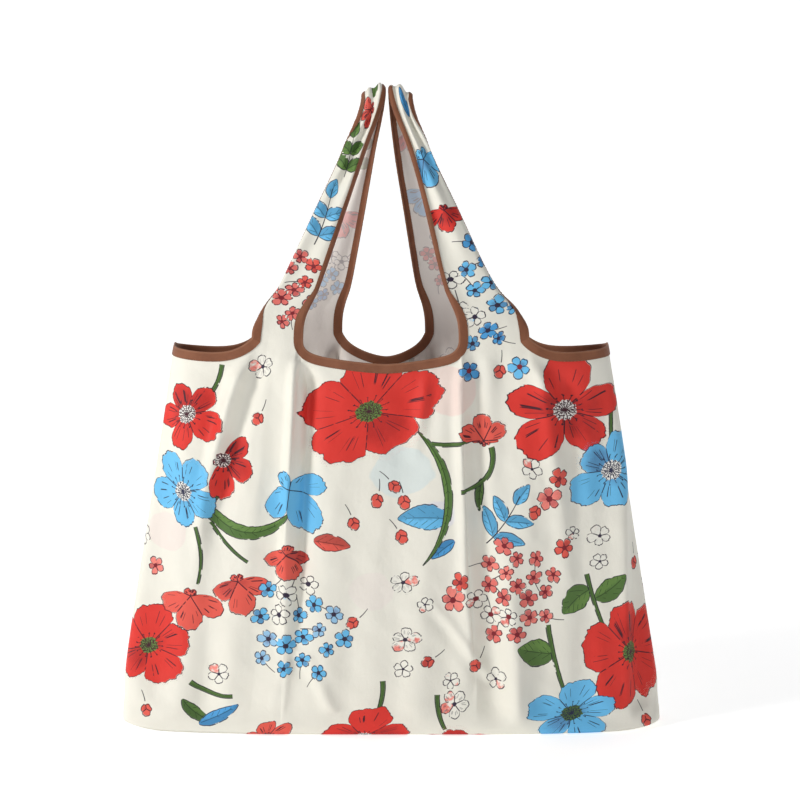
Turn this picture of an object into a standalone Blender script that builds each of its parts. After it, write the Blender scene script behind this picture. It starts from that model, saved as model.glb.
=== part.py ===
"""Foldable tote bag: a thin cloth body with boxed corners, two shoulder handles cut in one with
the panels, taped openings, and the small storage pouch that the bag folds into.

Metres, +Z up. The bag stands on its base, whose centre is the origin, and its front faces -Y.
Each panel and strap is a solid sheet. A moving piece has its parent empty on its joint's axis.
"""
import math

import bmesh
import bpy
from mathutils import Vector

# Driving dimensions
BASE_HALF_WIDTH = 0.270      # body, at the side seams near the base
SHOULDER_HALF_WIDTH = 0.218  # body, at the top of the side seams
HALF_DEPTH = 0.0500          # body, middle of the base to the front or the back
SHOULDER_HALF_DEPTH = 0.0470
TAPER_START_Z = 0.050        # the sides lean in above this height
SHOULDER_Z = 0.394           # top of the side seams
STRAP_Z = 0.402              # where a strap leaves the body
MOUTH_Z = 0.371              # lowest point of the mouth's edge
ARMHOLE_Z = 0.3855           # lowest point of an armhole's edge
HANDLE_TOP_Z = 0.6525        # shoulder seam, middle of the cloth
STRAP_INNER_X = 0.0765       # strap's edges where it leaves the body
STRAP_OUTER_X = 0.1390
TOP_INNER_X = 0.0060         # strap's edges at the shoulder seam
TOP_OUTER_X = 0.0300
TOP_RADIUS = 0.0065          # bend of the straps over the shoulder seam
PLAN_POWER = 3.5             # squareness of the body seen from above

CLOTH = 0.0012               # a panel's or strap's thickness
CLEAR = 0.0004               # gap between touching pieces
TAPE_WALL = 0.0008           # binding tape's thickness
TAPE_WIDTH = 0.0080          # binding tape's cover on each side of the edge
SEAM_DEPTH = 0.0080          # seam allowance that stands inward
SEAM_THICK = 0.0020

POUCH_HALF_WIDTH = 0.060
POUCH_HEIGHT = 0.078
POUCH_CLOTH = 0.0008
POUCH_BULGE = 0.0085
POUCH_HINGE = Vector((0.0, 0.0370, 0.3620))
HEM_HEIGHT = 0.012
HEM_INSET = 0.006            # hem's ends to the pouch's side edges
POUCH_SEAM = 0.0012          # thickness of the pouch's side seam
TAB_HALF_WIDTH = 0.050
LOOP_X = 0.047
LOOP_WIDTH = 0.008
LOOP_LENGTH = 0.022
LOOP_PLY = 0.0010
LOOP_GAP = 0.0050
LOOP_DROP = 0.004            # loop's pivot below the top of the pouch
LOOP_BEND_START = 0.004      # length of the loop's flat upper end
LOOP_END_DROP = 0.0015       # front ply stops this far below the pivot, so that the loop can swing up
TACK_HALF_HEIGHT = 0.0015
TACK_GAP = 0.0008

CORNER_SEAM_X = 0.246        # seam across each boxed corner, on the base
CORNER_SEAM_HALF = 0.026
BOTTOM_SEAM_HALF = 0.238
SIDE_SEAM_LOW = 0.020

CREAM = (0.86, 0.83, 0.75)
CREAM_DARK = (0.78, 0.75, 0.67)
BROWN = (0.27, 0.13, 0.07)
BLACK = (0.02, 0.02, 0.02)

FRONT, BACK = -1, 1
LEFT, RIGHT = -1, 1
SIDES = (("left", LEFT), ("right", RIGHT))
FACES = (("front", FRONT), ("back", BACK))


def clear_scene():
    for obj in list(bpy.data.objects):
        bpy.data.objects.remove(obj, do_unlink=True)


def material(name, colour, roughness):
    mat = bpy.data.materials.get(name)
    if mat is None:
        mat = bpy.data.materials.new(name)
        mat.use_nodes = True
        shader = mat.node_tree.nodes["Principled BSDF"]
        shader.inputs["Base Color"].default_value = (*colour, 1.0)
        shader.inputs["Roughness"].default_value = roughness
        shader.inputs["Metallic"].default_value = 0.0
    return mat


CLOTH_LOOK = ("printed_polyester", CREAM, 0.55)
INNER_LOOK = ("seam_cloth", CREAM_DARK, 0.65)
TAPE_LOOK = ("brown_binding", BROWN, 0.50)
WEBBING_LOOK = ("black_webbing", BLACK, 0.60)


def add_object(name, bm, look, parent=None):
    """A mesh object whose origin sits on its parent empty, or on the world's origin."""
    mesh = bpy.data.meshes.new(name)
    origin = parent.location.copy() if parent else Vector()
    bmesh.ops.translate(bm, vec=-origin, verts=bm.verts)
    bmesh.ops.recalc_face_normals(bm, faces=bm.faces)
    bm.to_mesh(mesh)
    bm.free()
    mesh.shade_smooth()
    mesh.set_sharp_from_angle(angle=math.radians(40))
    mesh.materials.append(material(*look))
    obj = bpy.data.objects.new(name, mesh)
    bpy.context.scene.collection.objects.link(obj)
    obj.parent = parent
    return obj


def add_pivot(name, location):
    pivot = bpy.data.objects.new(name, None)
    pivot.location = location
    pivot.empty_display_size = 0.02
    bpy.context.scene.collection.objects.link(pivot)
    return pivot


def sheet(name, rows, look, thickness=CLOTH, parent=None):
    """A closed thin solid round a grid of points, half its thickness to each side."""
    bm = bmesh.new()
    grid = [[bm.verts.new(p) for p in row] for row in rows]
    for low, high in zip(grid, grid[1:]):
        for i in range(len(low) - 1):
            bm.faces.new((low[i], low[i + 1], high[i + 1], high[i]))
    bmesh.ops.remove_doubles(bm, verts=bm.verts, dist=1e-6)
    obj = add_object(name, bm, look, parent)
    solid = obj.modifiers.new("thickness", "SOLIDIFY")
    solid.thickness = thickness
    solid.offset = 0.0
    solid.use_even_offset = True
    return obj


def loft(name, rings, look, parent=None):
    """A closed solid through equal rings of points, with flat ends."""
    bm = bmesh.new()
    made = [[bm.verts.new(p) for p in ring] for ring in rings]
    count = len(made[0])
    for a, b in zip(made, made[1:]):
        for i in range(count):
            j = (i + 1) % count
            bm.faces.new((a[i], a[j], b[j], b[i]))
    bm.faces.new(list(reversed(made[0])))
    bm.faces.new(made[-1])
    return add_object(name, bm, look, parent)


def tape(name, edge, inward, parent=None):
    """Binding tape: a channel that straddles an edge. inward points into the cloth at each point."""
    slot = CLOTH / 2 + CLEAR
    outer = slot + TAPE_WALL
    profile = [
        (-outer, -CLEAR - TAPE_WALL), (outer, -CLEAR - TAPE_WALL), (outer, TAPE_WIDTH), (slot, TAPE_WIDTH),
        (slot, -CLEAR), (-slot, -CLEAR), (-slot, TAPE_WIDTH), (-outer, TAPE_WIDTH),
    ]
    rings = []
    for k, (point, into) in enumerate(zip(edge, inward)):
        along = (edge[min(k + 1, len(edge) - 1)] - edge[max(k - 1, 0)]).normalized()
        into = (into - along * into.dot(along)).normalized()
        normal = along.cross(into)
        rings.append([point + normal * n + into * d for n, d in profile])
    return loft(name, rings, TAPE_LOOK, parent)


# Shape of the body

def taper(z):
    return max(0.0, (z - TAPER_START_Z) / (SHOULDER_Z - TAPER_START_Z))


def half_width(z):
    return BASE_HALF_WIDTH + (SHOULDER_HALF_WIDTH - BASE_HALF_WIDTH) * taper(z) ** 1.2


def half_depth(z):
    return HALF_DEPTH + (SHOULDER_HALF_DEPTH - HALF_DEPTH) * taper(z)


def plan(across, z, face):
    """A point of the body's wall at height z. across runs from -1 to 1 between the side seams."""
    width = abs(across)
    depth = max(0.0, 1.0 - width ** PLAN_POWER) ** (1.0 / PLAN_POWER)
    half_gap = CLEAR / 2
    y = half_gap + (half_depth(z) - half_gap) * depth
    return Vector((half_width(z) * across, face * y, z))


INNER_ACROSS = STRAP_INNER_X / half_width(STRAP_Z)
OUTER_ACROSS = STRAP_OUTER_X / half_width(STRAP_Z)
MOUTH_POWER = 3.2
ARMHOLE_POWER = 6.0
MOUTH_TAPE_SHARE = 0.985   # the body's tapes stop short of the strap's feet
ARMHOLE_TAPE_GAP = 0.03
TURN_ACROSS = 0.93         # the wall turns to the side seam beyond this place across


def top_edge(across):
    """Height of the body's cut edge: mouth in the middle, then the strap's foot, then the armhole."""
    width = abs(across)
    if width <= INNER_ACROSS:
        drop = (1.0 - (width / INNER_ACROSS) ** MOUTH_POWER) ** (1.0 / MOUTH_POWER)
        return STRAP_Z - (STRAP_Z - MOUTH_Z) * drop
    if width <= OUTER_ACROSS:
        return STRAP_Z
    t = (width - OUTER_ACROSS) / (1.0 - OUTER_ACROSS)
    rise_to_strap = (STRAP_Z - ARMHOLE_Z) * (1.0 - t) ** ARMHOLE_POWER
    return ARMHOLE_Z + rise_to_strap + (SHOULDER_Z - ARMHOLE_Z) * t * t


def evenly(start, end, count):
    return [start + (end - start) * i / count for i in range(count + 1)]


def body_columns():
    """Places across the right half of a panel, closer together where the wall or its edge turns."""
    mouth = [INNER_ACROSS * math.sin(a) for a in evenly(0.0, math.pi / 2, 8)]
    foot = evenly(INNER_ACROSS, OUTER_ACROSS, 3)[1:]
    armhole = evenly(OUTER_ACROSS, TURN_ACROSS, 7)[1:]
    turn = [math.sin(a) ** (2.0 / PLAN_POWER) for a in evenly(math.radians(70), math.pi / 2, 4)]
    return mouth + foot + armhole + turn


COLUMNS = body_columns()
ALL_COLUMNS = [-c for c in reversed(COLUMNS[1:])] + COLUMNS
WALL_ROWS = (0.0, 0.012, 0.05, 0.12, 0.25, 0.40, 0.55, 0.70, 0.85, 0.95, 1.0)
BASE_ROWS = 3


def build_panel(name, face):
    base_z = CLOTH / 2
    rows = []
    for k in range(BASE_ROWS):
        reach = k / BASE_ROWS
        row = []
        for across in ALL_COLUMNS:
            p = plan(across, base_z, face)
            seam_y = face * CLEAR / 2
            row.append(Vector((p.x, seam_y + (p.y - seam_y) * reach, p.z)))
        rows.append(row)
    for part in WALL_ROWS:
        rows.append([plan(a, base_z + (top_edge(a) - base_z) * part, face) for a in ALL_COLUMNS])
    sheet(name, rows, CLOTH_LOOK)


def edge_run(face, start, end):
    """Points of a panel's cut edge between two places across, with the directions into the cloth."""
    places = [a for a in ALL_COLUMNS if min(start, end) <= a <= max(start, end)]
    if end < start:
        places.reverse()
    edge = [plan(a, top_edge(a), face) for a in places]
    below = [plan(a, top_edge(a) - TAPE_WIDTH, face) for a in places]
    return edge, [b - e for e, b in zip(edge, below)]


def build_body_bindings():
    mouth_end = INNER_ACROSS * MOUTH_TAPE_SHARE
    for word, face in FACES:
        edge, into = edge_run(face, -mouth_end, mouth_end)
        tape(f"{word}_mouth_binding", edge, into)
    for word, side in SIDES:
        start = side * (OUTER_ACROSS + ARMHOLE_TAPE_GAP)
        front_edge, front_into = edge_run(FRONT, start, side)
        back_edge, back_into = edge_run(BACK, side, start)
        seam_top = (front_edge[-1] + back_edge[0]) / 2
        edge = front_edge[:-1] + [seam_top] + back_edge[1:]
        into = front_into[:-1] + [front_into[-1] + back_into[0]] + back_into[1:]
        tape(f"{word}_armhole_binding", edge, into)


# Seam allowances, which stand inward from the walls

def bar(name, centre, half, look=INNER_LOOK, parent=None):
    bm = bmesh.new()
    bmesh.ops.create_cube(bm, size=2.0)
    bmesh.ops.scale(bm, vec=half, verts=bm.verts)
    bmesh.ops.translate(bm, vec=centre, verts=bm.verts)
    return add_object(name, bm, look, parent)


def build_seams():
    inside = CLOTH / 2 + 3 * CLEAR
    half_thick = SEAM_THICK / 2
    for word, side in SIDES:
        rings = []
        for z in evenly(SIDE_SEAM_LOW, SHOULDER_Z - 1.5 * TAPE_WIDTH, 10):
            wall = half_width(z) - inside
            corners = ((wall, half_thick), (wall - SEAM_DEPTH, half_thick),
                       (wall - SEAM_DEPTH, -half_thick), (wall, -half_thick))
            rings.append([Vector((side * x, y, z)) for x, y in corners])
        loft(f"{word}_side_seam", rings, INNER_LOOK)
        corner = Vector((side * CORNER_SEAM_X, 0.0, CLOTH + CLEAR + half_thick))
        bar(f"{word}_corner_seam", corner, (SEAM_DEPTH / 2, CORNER_SEAM_HALF, half_thick))
    centre = Vector((0.0, 0.0, CLOTH + CLEAR + SEAM_DEPTH / 2))
    bar("bottom_seam", centre, (BOTTOM_SEAM_HALF, half_thick, SEAM_DEPTH / 2))


# Handles: a front and a back strap joined by the shoulder seam at the top

STRAP_FOOT_Z = STRAP_Z + CLEAR + 0.0002
BEND_Z = HANDLE_TOP_Z - TOP_RADIUS
STRAIGHT_ROWS = 12
BEND_ROWS = 4
ACROSS_STRAP = 4


def strap_rows(face, side):
    """Grid of one strap from its foot to the shoulder seam. The first column is the inner edge."""
    rows = []
    for k in range(STRAIGHT_ROWS + 1):
        t = k / STRAIGHT_ROWS
        z = STRAP_FOOT_Z + (BEND_Z - STRAP_FOOT_Z) * t
        inner = STRAP_INNER_X + (TOP_INNER_X - STRAP_INNER_X) * t
        outer = STRAP_OUTER_X + (TOP_OUTER_X - STRAP_OUTER_X) * t
        row = []
        for w in evenly(0.0, 1.0, ACROSS_STRAP):
            foot_x = STRAP_INNER_X + (STRAP_OUTER_X - STRAP_INNER_X) * w
            foot_y = plan(foot_x / half_width(STRAP_Z), STRAP_Z, face).y
            y = foot_y * (1.0 - t) + face * TOP_RADIUS * t
            row.append(Vector((side * (inner + (outer - inner) * w), y, z)))
        rows.append(row)
    for k in range(1, BEND_ROWS + 1):
        turn = math.pi / 2 * k / BEND_ROWS
        y = face * (TOP_RADIUS * math.cos(turn) + CLEAR / 2 * math.sin(turn))
        z = BEND_Z + TOP_RADIUS * math.sin(turn)
        row = []
        for w in evenly(0.0, 1.0, ACROSS_STRAP):
            row.append(Vector((side * (TOP_INNER_X + (TOP_OUTER_X - TOP_INNER_X) * w), y, z)))
        rows.append(row)
    return rows


def build_handle(word, side):
    pivot = add_pivot(f"{word}_handle_pivot", Vector((side * STRAP_OUTER_X, 0.0, STRAP_Z)))
    front = strap_rows(FRONT, side)
    back = strap_rows(BACK, side)
    sheet(f"{word}_front_strap", front, CLOTH_LOOK, parent=pivot)
    sheet(f"{word}_back_strap", back, CLOTH_LOOK, parent=pivot)
    crest = [(a + b) / 2 for a, b in zip(front[-1], back[-1])]
    over_the_top = front[1:-1] + [crest] + list(reversed(back[1:-1]))
    inner_edge = [row[0] for row in over_the_top]
    outer_edge = [row[-1] for row in over_the_top]
    inner_into = [row[1] - row[0] for row in over_the_top]
    outer_into = [row[-2] - row[-1] for row in over_the_top]
    tape(f"{word}_handle_inner_binding", inner_edge, inner_into, parent=pivot)
    tape(f"{word}_handle_outer_binding", outer_edge, outer_into, parent=pivot)
    middle_x = side * (TOP_INNER_X + TOP_OUTER_X) / 2
    half_height = SEAM_DEPTH * 0.44
    top = HANDLE_TOP_Z - CLOTH / 2 - CLEAR - 0.0003
    bar(f"{word}_shoulder_seam", Vector((middle_x, 0.0, top - half_height)), (0.0030, 0.0010, half_height),
        parent=pivot)


# Storage pouch, which hangs inside from the back edge of the mouth

def leaf_bulge(x, down):
    """How far the front leaf stands off the back leaf. down runs from 0 at its top to 1."""
    across = 1.0 - min(1.0, abs(x) / POUCH_HALF_WIDTH) ** 4
    return POUCH_BULGE * across * (1.0 - down ** 3)


POUCH_TOP_Z = POUCH_HINGE.z - 0.002
LEAF_SPACING = POUCH_CLOTH + CLEAR
BACK_LEAF_Y = POUCH_HINGE.y - POUCH_CLOTH / 2


def front_leaf_point(x, down, lift=0.0):
    y = BACK_LEAF_Y - LEAF_SPACING - leaf_bulge(x, down) - lift
    return Vector((x, y, POUCH_TOP_Z - POUCH_HEIGHT * down))


def build_pouch():
    pivot = add_pivot("pouch_pivot", POUCH_HINGE)
    places = [POUCH_HALF_WIDTH * math.sin(a) for a in evenly(-math.pi / 2, math.pi / 2, 14)]
    downs = [math.sin(a) for a in evenly(0.0, math.pi / 2, 7)]
    back = [[Vector((x, BACK_LEAF_Y, POUCH_TOP_Z - POUCH_HEIGHT * d)) for x in places] for d in downs]
    sheet("pouch_back_leaf", back, CLOTH_LOOK, POUCH_CLOTH, pivot)
    front = [[front_leaf_point(x, d) for x in places] for d in downs]
    sheet("pouch_front_leaf", front, CLOTH_LOOK, POUCH_CLOTH, pivot)
    hem_lift = POUCH_CLOTH + CLEAR
    hem_end = POUCH_HALF_WIDTH - HEM_INSET
    hem_places = [hem_end * math.sin(a) for a in evenly(-math.pi / 2, math.pi / 2, 12)]
    hem_downs = evenly(0.01, HEM_HEIGHT / POUCH_HEIGHT, 2)
    hem = [[front_leaf_point(x, d, hem_lift) for x in hem_places] for d in hem_downs]
    sheet("pouch_hem", hem, CLOTH_LOOK, POUCH_CLOTH, pivot)

    build_pouch_seam(pivot)
    return pivot


def build_pouch_seam(pivot):
    """Seam round three sides of the pouch: a thin U that closes the leaves' edges."""
    middle_y = BACK_LEAF_Y - LEAF_SPACING / 2
    half_thick = LEAF_SPACING / 2 + POUCH_CLOTH / 2
    near = POUCH_HALF_WIDTH + CLEAR
    far = near + POUCH_SEAM
    floor = POUCH_TOP_Z - POUCH_HEIGHT
    top = POUCH_TOP_Z - 0.004
    turns = [(-1, top, top), (-1, floor - CLEAR, floor - CLEAR - POUCH_SEAM),
             (1, floor - CLEAR, floor - CLEAR - POUCH_SEAM), (1, top, top)]
    rings = []
    for side, near_z, far_z in turns:
        rings.append([
            Vector((side * near, middle_y - half_thick, near_z)),
            Vector((side * near, middle_y + half_thick, near_z)),
            Vector((side * far, middle_y + half_thick, far_z)),
            Vector((side * far, middle_y - half_thick, far_z)),
        ])
    loft("pouch_side_seam", rings, INNER_LOOK, pivot)


def build_pouch_tab():
    """Strip that joins the pouch to the binding of the mouth's back edge."""
    wall_y = half_depth(MOUTH_Z) - CLOTH / 2 - CLEAR - TAPE_WALL - 2 * CLEAR
    start = Vector((0.0, wall_y, POUCH_HINGE.z + 0.003))
    end = Vector((0.0, POUCH_HINGE.y + 0.0015, POUCH_HINGE.z + 0.001))
    rows = []
    for k in range(3):
        point = start.lerp(end, k / 2)
        rows.append([Vector((x, point.y, point.z)) for x in evenly(-TAB_HALF_WIDTH, TAB_HALF_WIDTH, 4)])
    sheet("pouch_tab", rows, CLOTH_LOOK, POUCH_CLOTH)


def build_loop(pouch_pivot):
    lift = POUCH_CLOTH + CLEAR
    hem_front = front_leaf_point(LOOP_X - LOOP_WIDTH / 2, 0.06, lift).y - POUCH_CLOTH / 2
    rear_y = hem_front - CLEAR - LOOP_PLY / 2
    top_z = POUCH_TOP_Z - LOOP_DROP
    tack_half = Vector((LOOP_WIDTH / 2, LOOP_PLY / 2, TACK_HALF_HEIGHT))
    tack_z = top_z + TACK_GAP + TACK_HALF_HEIGHT
    tack = bar("loop_bartack", Vector((LOOP_X, rear_y, tack_z)), tack_half, WEBBING_LOOK)
    tack.parent = pouch_pivot
    tack.matrix_parent_inverse = pouch_pivot.matrix_world.inverted()
    tack.location = -POUCH_HINGE

    radius = LOOP_GAP / 2 + LOOP_PLY / 2
    middle_y = rear_y - radius
    pivot = add_pivot("loop_pivot", Vector((LOOP_X, rear_y, top_z)))
    low_z = top_z - LOOP_LENGTH + radius
    high_z = top_z - LOOP_BEND_START
    path = [Vector((0.0, rear_y, top_z)), Vector((0.0, rear_y, high_z))]
    for a in evenly(0.0, math.pi, 8):
        path.append(Vector((0.0, middle_y + radius * math.cos(a), low_z - radius * math.sin(a))))
    path.append(Vector((0.0, middle_y - radius, high_z)))
    path.append(Vector((0.0, rear_y - LOOP_PLY - CLEAR, top_z - LOOP_END_DROP)))
    rows = [[p + Vector((LOOP_X + dx, 0.0, 0.0)) for p in path] for dx in (-LOOP_WIDTH / 2, LOOP_WIDTH / 2)]
    sheet("pouch_loop", rows, WEBBING_LOOK, LOOP_PLY, pivot)


def main():
    clear_scene()
    for word, face in FACES:
        build_panel(f"{word}_panel", face)
    build_body_bindings()
    build_seams()
    for word, side in SIDES:
        build_handle(word, side)
    build_pouch_tab()
    pouch_pivot = build_pouch()
    build_loop(pouch_pivot)


main()
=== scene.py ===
"""Looks of the foldable tote bag: printed cloth, brown tape, seams, inner pouch and its loop.

Metres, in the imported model's frame: +Z up, the front faces -Y. Cloth is a grid of points with a
place in the flat cut piece for each, so the print is laid out on the cut piece and bends with it.
"""
import math
from functools import partial

import bmesh
import bpy
import numpy as np
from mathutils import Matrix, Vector
from mathutils.bvhtree import BVHTree


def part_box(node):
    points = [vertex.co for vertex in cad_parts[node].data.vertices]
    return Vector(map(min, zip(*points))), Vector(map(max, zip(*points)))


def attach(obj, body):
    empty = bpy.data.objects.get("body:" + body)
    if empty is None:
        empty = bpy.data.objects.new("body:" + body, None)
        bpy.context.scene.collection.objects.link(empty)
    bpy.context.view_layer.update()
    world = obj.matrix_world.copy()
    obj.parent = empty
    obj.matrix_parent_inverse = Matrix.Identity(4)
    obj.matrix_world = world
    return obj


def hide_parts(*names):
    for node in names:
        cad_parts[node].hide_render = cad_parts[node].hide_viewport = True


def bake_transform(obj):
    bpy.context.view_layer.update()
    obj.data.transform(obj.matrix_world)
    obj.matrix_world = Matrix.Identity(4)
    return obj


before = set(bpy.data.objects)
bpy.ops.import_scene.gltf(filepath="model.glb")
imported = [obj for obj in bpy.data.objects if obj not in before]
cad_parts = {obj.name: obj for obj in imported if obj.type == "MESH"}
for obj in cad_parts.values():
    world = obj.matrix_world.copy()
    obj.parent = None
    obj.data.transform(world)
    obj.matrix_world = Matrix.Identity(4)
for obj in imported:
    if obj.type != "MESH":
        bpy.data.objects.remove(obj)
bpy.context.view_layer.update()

# Driving dimensions, as in the CAD model; the drawn cloth stands a little proud at the base's corners
BASE_HALF_WIDTH = 0.277
SHOULDER_HALF_WIDTH = 0.2195
HALF_DEPTH = 0.0500
SHOULDER_HALF_DEPTH = 0.0470
TAPER_START_Z = 0.050
SHOULDER_Z = 0.394
STRAP_Z = 0.402
MOUTH_Z = 0.3765
ARMHOLE_Z = 0.3855
HANDLE_TOP_Z = 0.6525
TOP_RADIUS = 0.0065
PLAN_POWER = 3.5

CLOTH = 0.0005               # cloth as it is drawn, thick enough to render cleanly
BACK_PRINT_STEP = 0.19       # the back is cut this much further along the printed cloth
TAPE_WIDTH = 0.0088          # binding tape's cover on each side of the edge
TAPE_WALL = 0.0005

BAG_MIDDLE = (0.0, 0.0, 0.3)
CAMERA_TARGET = Vector((0.009, -HALF_DEPTH, 0.340))
CAMERA_DISTANCE = 1.875
CAMERA_ELEVATION = 6.0

FRONT, BACK = -1, 1
LEFT, RIGHT = -1, 1
FACE_WORD = {FRONT: "front", BACK: "back"}
SIDE_WORD = {LEFT: "left", RIGHT: "right"}

MOUTH_LOW_X = -0.006

# x of a strap's inner and outer edge at even steps from its foot to the shoulder seam. The hanging
# cloth gathers unevenly, so the straps aren't mirror images.
STRAP_X = {
    (FRONT, LEFT): ((-0.088, -0.068, -0.047, -0.026, -0.006), (-0.138, -0.108, -0.078, -0.049, -0.029)),
    (FRONT, RIGHT): ((0.068, 0.050, 0.036, 0.019, -0.002), (0.137, 0.099, 0.069, 0.040, 0.021)),
    (BACK, LEFT): ((-0.052, -0.040, -0.028, -0.017, -0.006), (-0.138, -0.106, -0.076, -0.047, -0.029)),
    (BACK, RIGHT): ((0.036, 0.024, 0.014, 0.004, -0.002), (0.137, 0.097, 0.067, 0.038, 0.021)),
}
FOOT_X = {place: (inner[0], outer[0]) for place, (inner, outer) in STRAP_X.items()}


def smooth(x, low=0.0, high=1.0):
    t = np.clip((x - low) / (high - low), 0.0, 1.0)
    return t * t * (3 - 2 * t)


def unit(v):
    return v / np.maximum(np.linalg.norm(v, axis=-1, keepdims=True), 1e-12)


# Shape of the body

def taper(z):
    return np.clip((z - TAPER_START_Z) / (SHOULDER_Z - TAPER_START_Z), 0.0, None)


def half_width(z):
    return BASE_HALF_WIDTH + (SHOULDER_HALF_WIDTH - BASE_HALF_WIDTH) * taper(z) ** 1.2


def half_depth(z):
    return HALF_DEPTH + (SHOULDER_HALF_DEPTH - HALF_DEPTH) * taper(z)


def plan_depth(across):
    return np.clip(1.0 - np.abs(across) ** PLAN_POWER, 0.0, None) ** (1.0 / PLAN_POWER)


def arc_table():
    """Places across, and their distance along the wall from the middle at the base."""
    angle = np.linspace(0.0, math.pi / 2, 2000)
    across = np.sin(angle) ** (2.0 / PLAN_POWER)
    x = BASE_HALF_WIDTH * across
    y = HALF_DEPTH * plan_depth(across)
    step = np.hypot(np.diff(x), np.diff(y))
    return across, np.concatenate([[0.0], np.cumsum(step)])


ARC_ACROSS, ARC_LENGTH = arc_table()
HALF_CUT = ARC_LENGTH[-1]    # half the width of the cut piece, at the base


def across_of_arc(s):
    return np.sign(s) * np.interp(np.abs(s), ARC_LENGTH, ARC_ACROSS)


def arc_of_across(across):
    return np.sign(across) * np.interp(np.abs(across), ARC_ACROSS, ARC_LENGTH)


def foot_arcs(face):
    """Distances along the wall of the four strap edges, from left to right."""
    xs = (FOOT_X[face, LEFT][1], FOOT_X[face, LEFT][0], FOOT_X[face, RIGHT][0], FOOT_X[face, RIGHT][1])
    return [float(arc_of_across(np.array(x / half_width(STRAP_Z)))) for x in xs]


class Grid:
    """How finely the cloth is divided: spacing across, and cells of each part."""

    def __init__(self, spacing, strap_cells, base_cells, wall_cells, strap_rows, bend_rows):
        self.spacing, self.strap_cells = spacing, strap_cells
        self.base_cells, self.wall_cells = base_cells, wall_cells
        self.strap_rows, self.bend_rows = strap_rows, bend_rows

    def body_steps(self):
        """Row numbers of the base, then of the wall, on a scale that doesn't depend on the fineness."""
        base = np.arange(self.base_cells) / self.base_cells
        return np.concatenate([base, 1.0 + np.arange(self.wall_cells + 1) / self.wall_cells])

    def strap_steps(self):
        straight = np.arange(self.strap_rows + 1) / self.strap_rows
        return np.concatenate([straight, 1.0 + np.arange(1, self.bend_rows + 1) / self.bend_rows])


FINE = Grid(0.003, 38, 10, 132, 84, 6)
COARSE = Grid(0.0085, 8, 4, 46, 30, 2)


def body_columns(face, grid):
    """Distances along the wall of the grid's columns, and the columns of the four strap edges."""
    stops = [-HALF_CUT, *foot_arcs(face), HALF_CUT]
    columns = [stops[0]]
    marks = []
    for k, (a, b) in enumerate(zip(stops, stops[1:])):
        cells = grid.strap_cells if k in (1, 3) else max(2, round((b - a) / grid.spacing))
        if k == 2:
            cells = round(cells * 1.4)
        even = np.linspace(0.0, 1.0, cells + 1)[1:]
        crowding = 0.8 if k == 2 else 0.0
        columns.extend(a + (b - a) * (even - crowding * np.sin(2 * math.pi * even) / (2 * math.pi)))
        marks.append(len(columns) - 1)
    return np.array(columns), marks[:4]


MOUTH_END_RISE = 0.011       # how far the front's mouth rises towards the straps before its corners


def top_edge(s, face):
    """Height of the cut edge above each place along the wall."""
    left_out, left_in, right_in, right_out = foot_arcs(face)
    low = MOUTH_LOW_X
    reach = np.where(s < low, (low - s) / (low - left_in), (s - low) / (right_in - low))
    reach = np.clip(reach, 0.0, 1.0)
    if face == FRONT:
        low_edge = MOUTH_Z + MOUTH_END_RISE * reach ** 1.5
        mouth = STRAP_Z - (STRAP_Z - low_edge) * np.sqrt(1.0 - reach ** 14)
    else:
        mouth = MOUTH_Z + (STRAP_Z - MOUTH_Z) * (0.75 * reach ** 1.7 + 0.25 * reach ** 9)
    out = np.where(s < 0, (left_out - s) / (left_out + HALF_CUT), (s - right_out) / (HALF_CUT - right_out))
    out = np.clip(out, 0.0, 1.0)
    armhole = ARMHOLE_Z + (STRAP_Z - ARMHOLE_Z) * (1.0 - out) ** 7 + (SHOULDER_Z - ARMHOLE_Z) * out * out
    edge = np.where((s > left_in) & (s < right_in), mouth, STRAP_Z)
    return np.where((s < left_out) | (s > right_out), armhole, edge)


# Folds of the hanging cloth

def line_distance(x, z, points):
    """Signed distance to a broken line, and the share of its length at the nearest place."""
    best = np.full(x.shape, 1e9)
    sign = np.ones(x.shape)
    share = np.zeros(x.shape)
    count = len(points) - 1
    for k, ((ax, az), (bx, bz)) in enumerate(zip(points, points[1:])):
        dx, dz = bx - ax, bz - az
        length = math.hypot(dx, dz)
        t = np.clip(((x - ax) * dx + (z - az) * dz) / length ** 2, 0.0, 1.0)
        away = np.hypot(x - ax - dx * t, z - az - dz * t)
        side = np.sign(dx * (z - az) - dz * (x - ax))
        near = away < best
        best = np.where(near, away, best)
        sign = np.where(near, side, sign)
        share = np.where(near, (k + t) / count, share)
    return best * np.where(sign == 0, 1.0, sign), share


def pleat(x, z, points, height, width):
    """A soft fold that stands out along a line, with a hollow on one side of it, and dies out."""
    away, share = line_distance(x, z, points)
    fade = 1.0 - smooth(share, 0.45, 1.0)
    ridge = np.exp(-(away / width) ** 2)
    hollow = np.exp(-((away - 1.9 * width) / (1.4 * width)) ** 2)
    return height * fade * (ridge - 0.75 * hollow)


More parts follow.
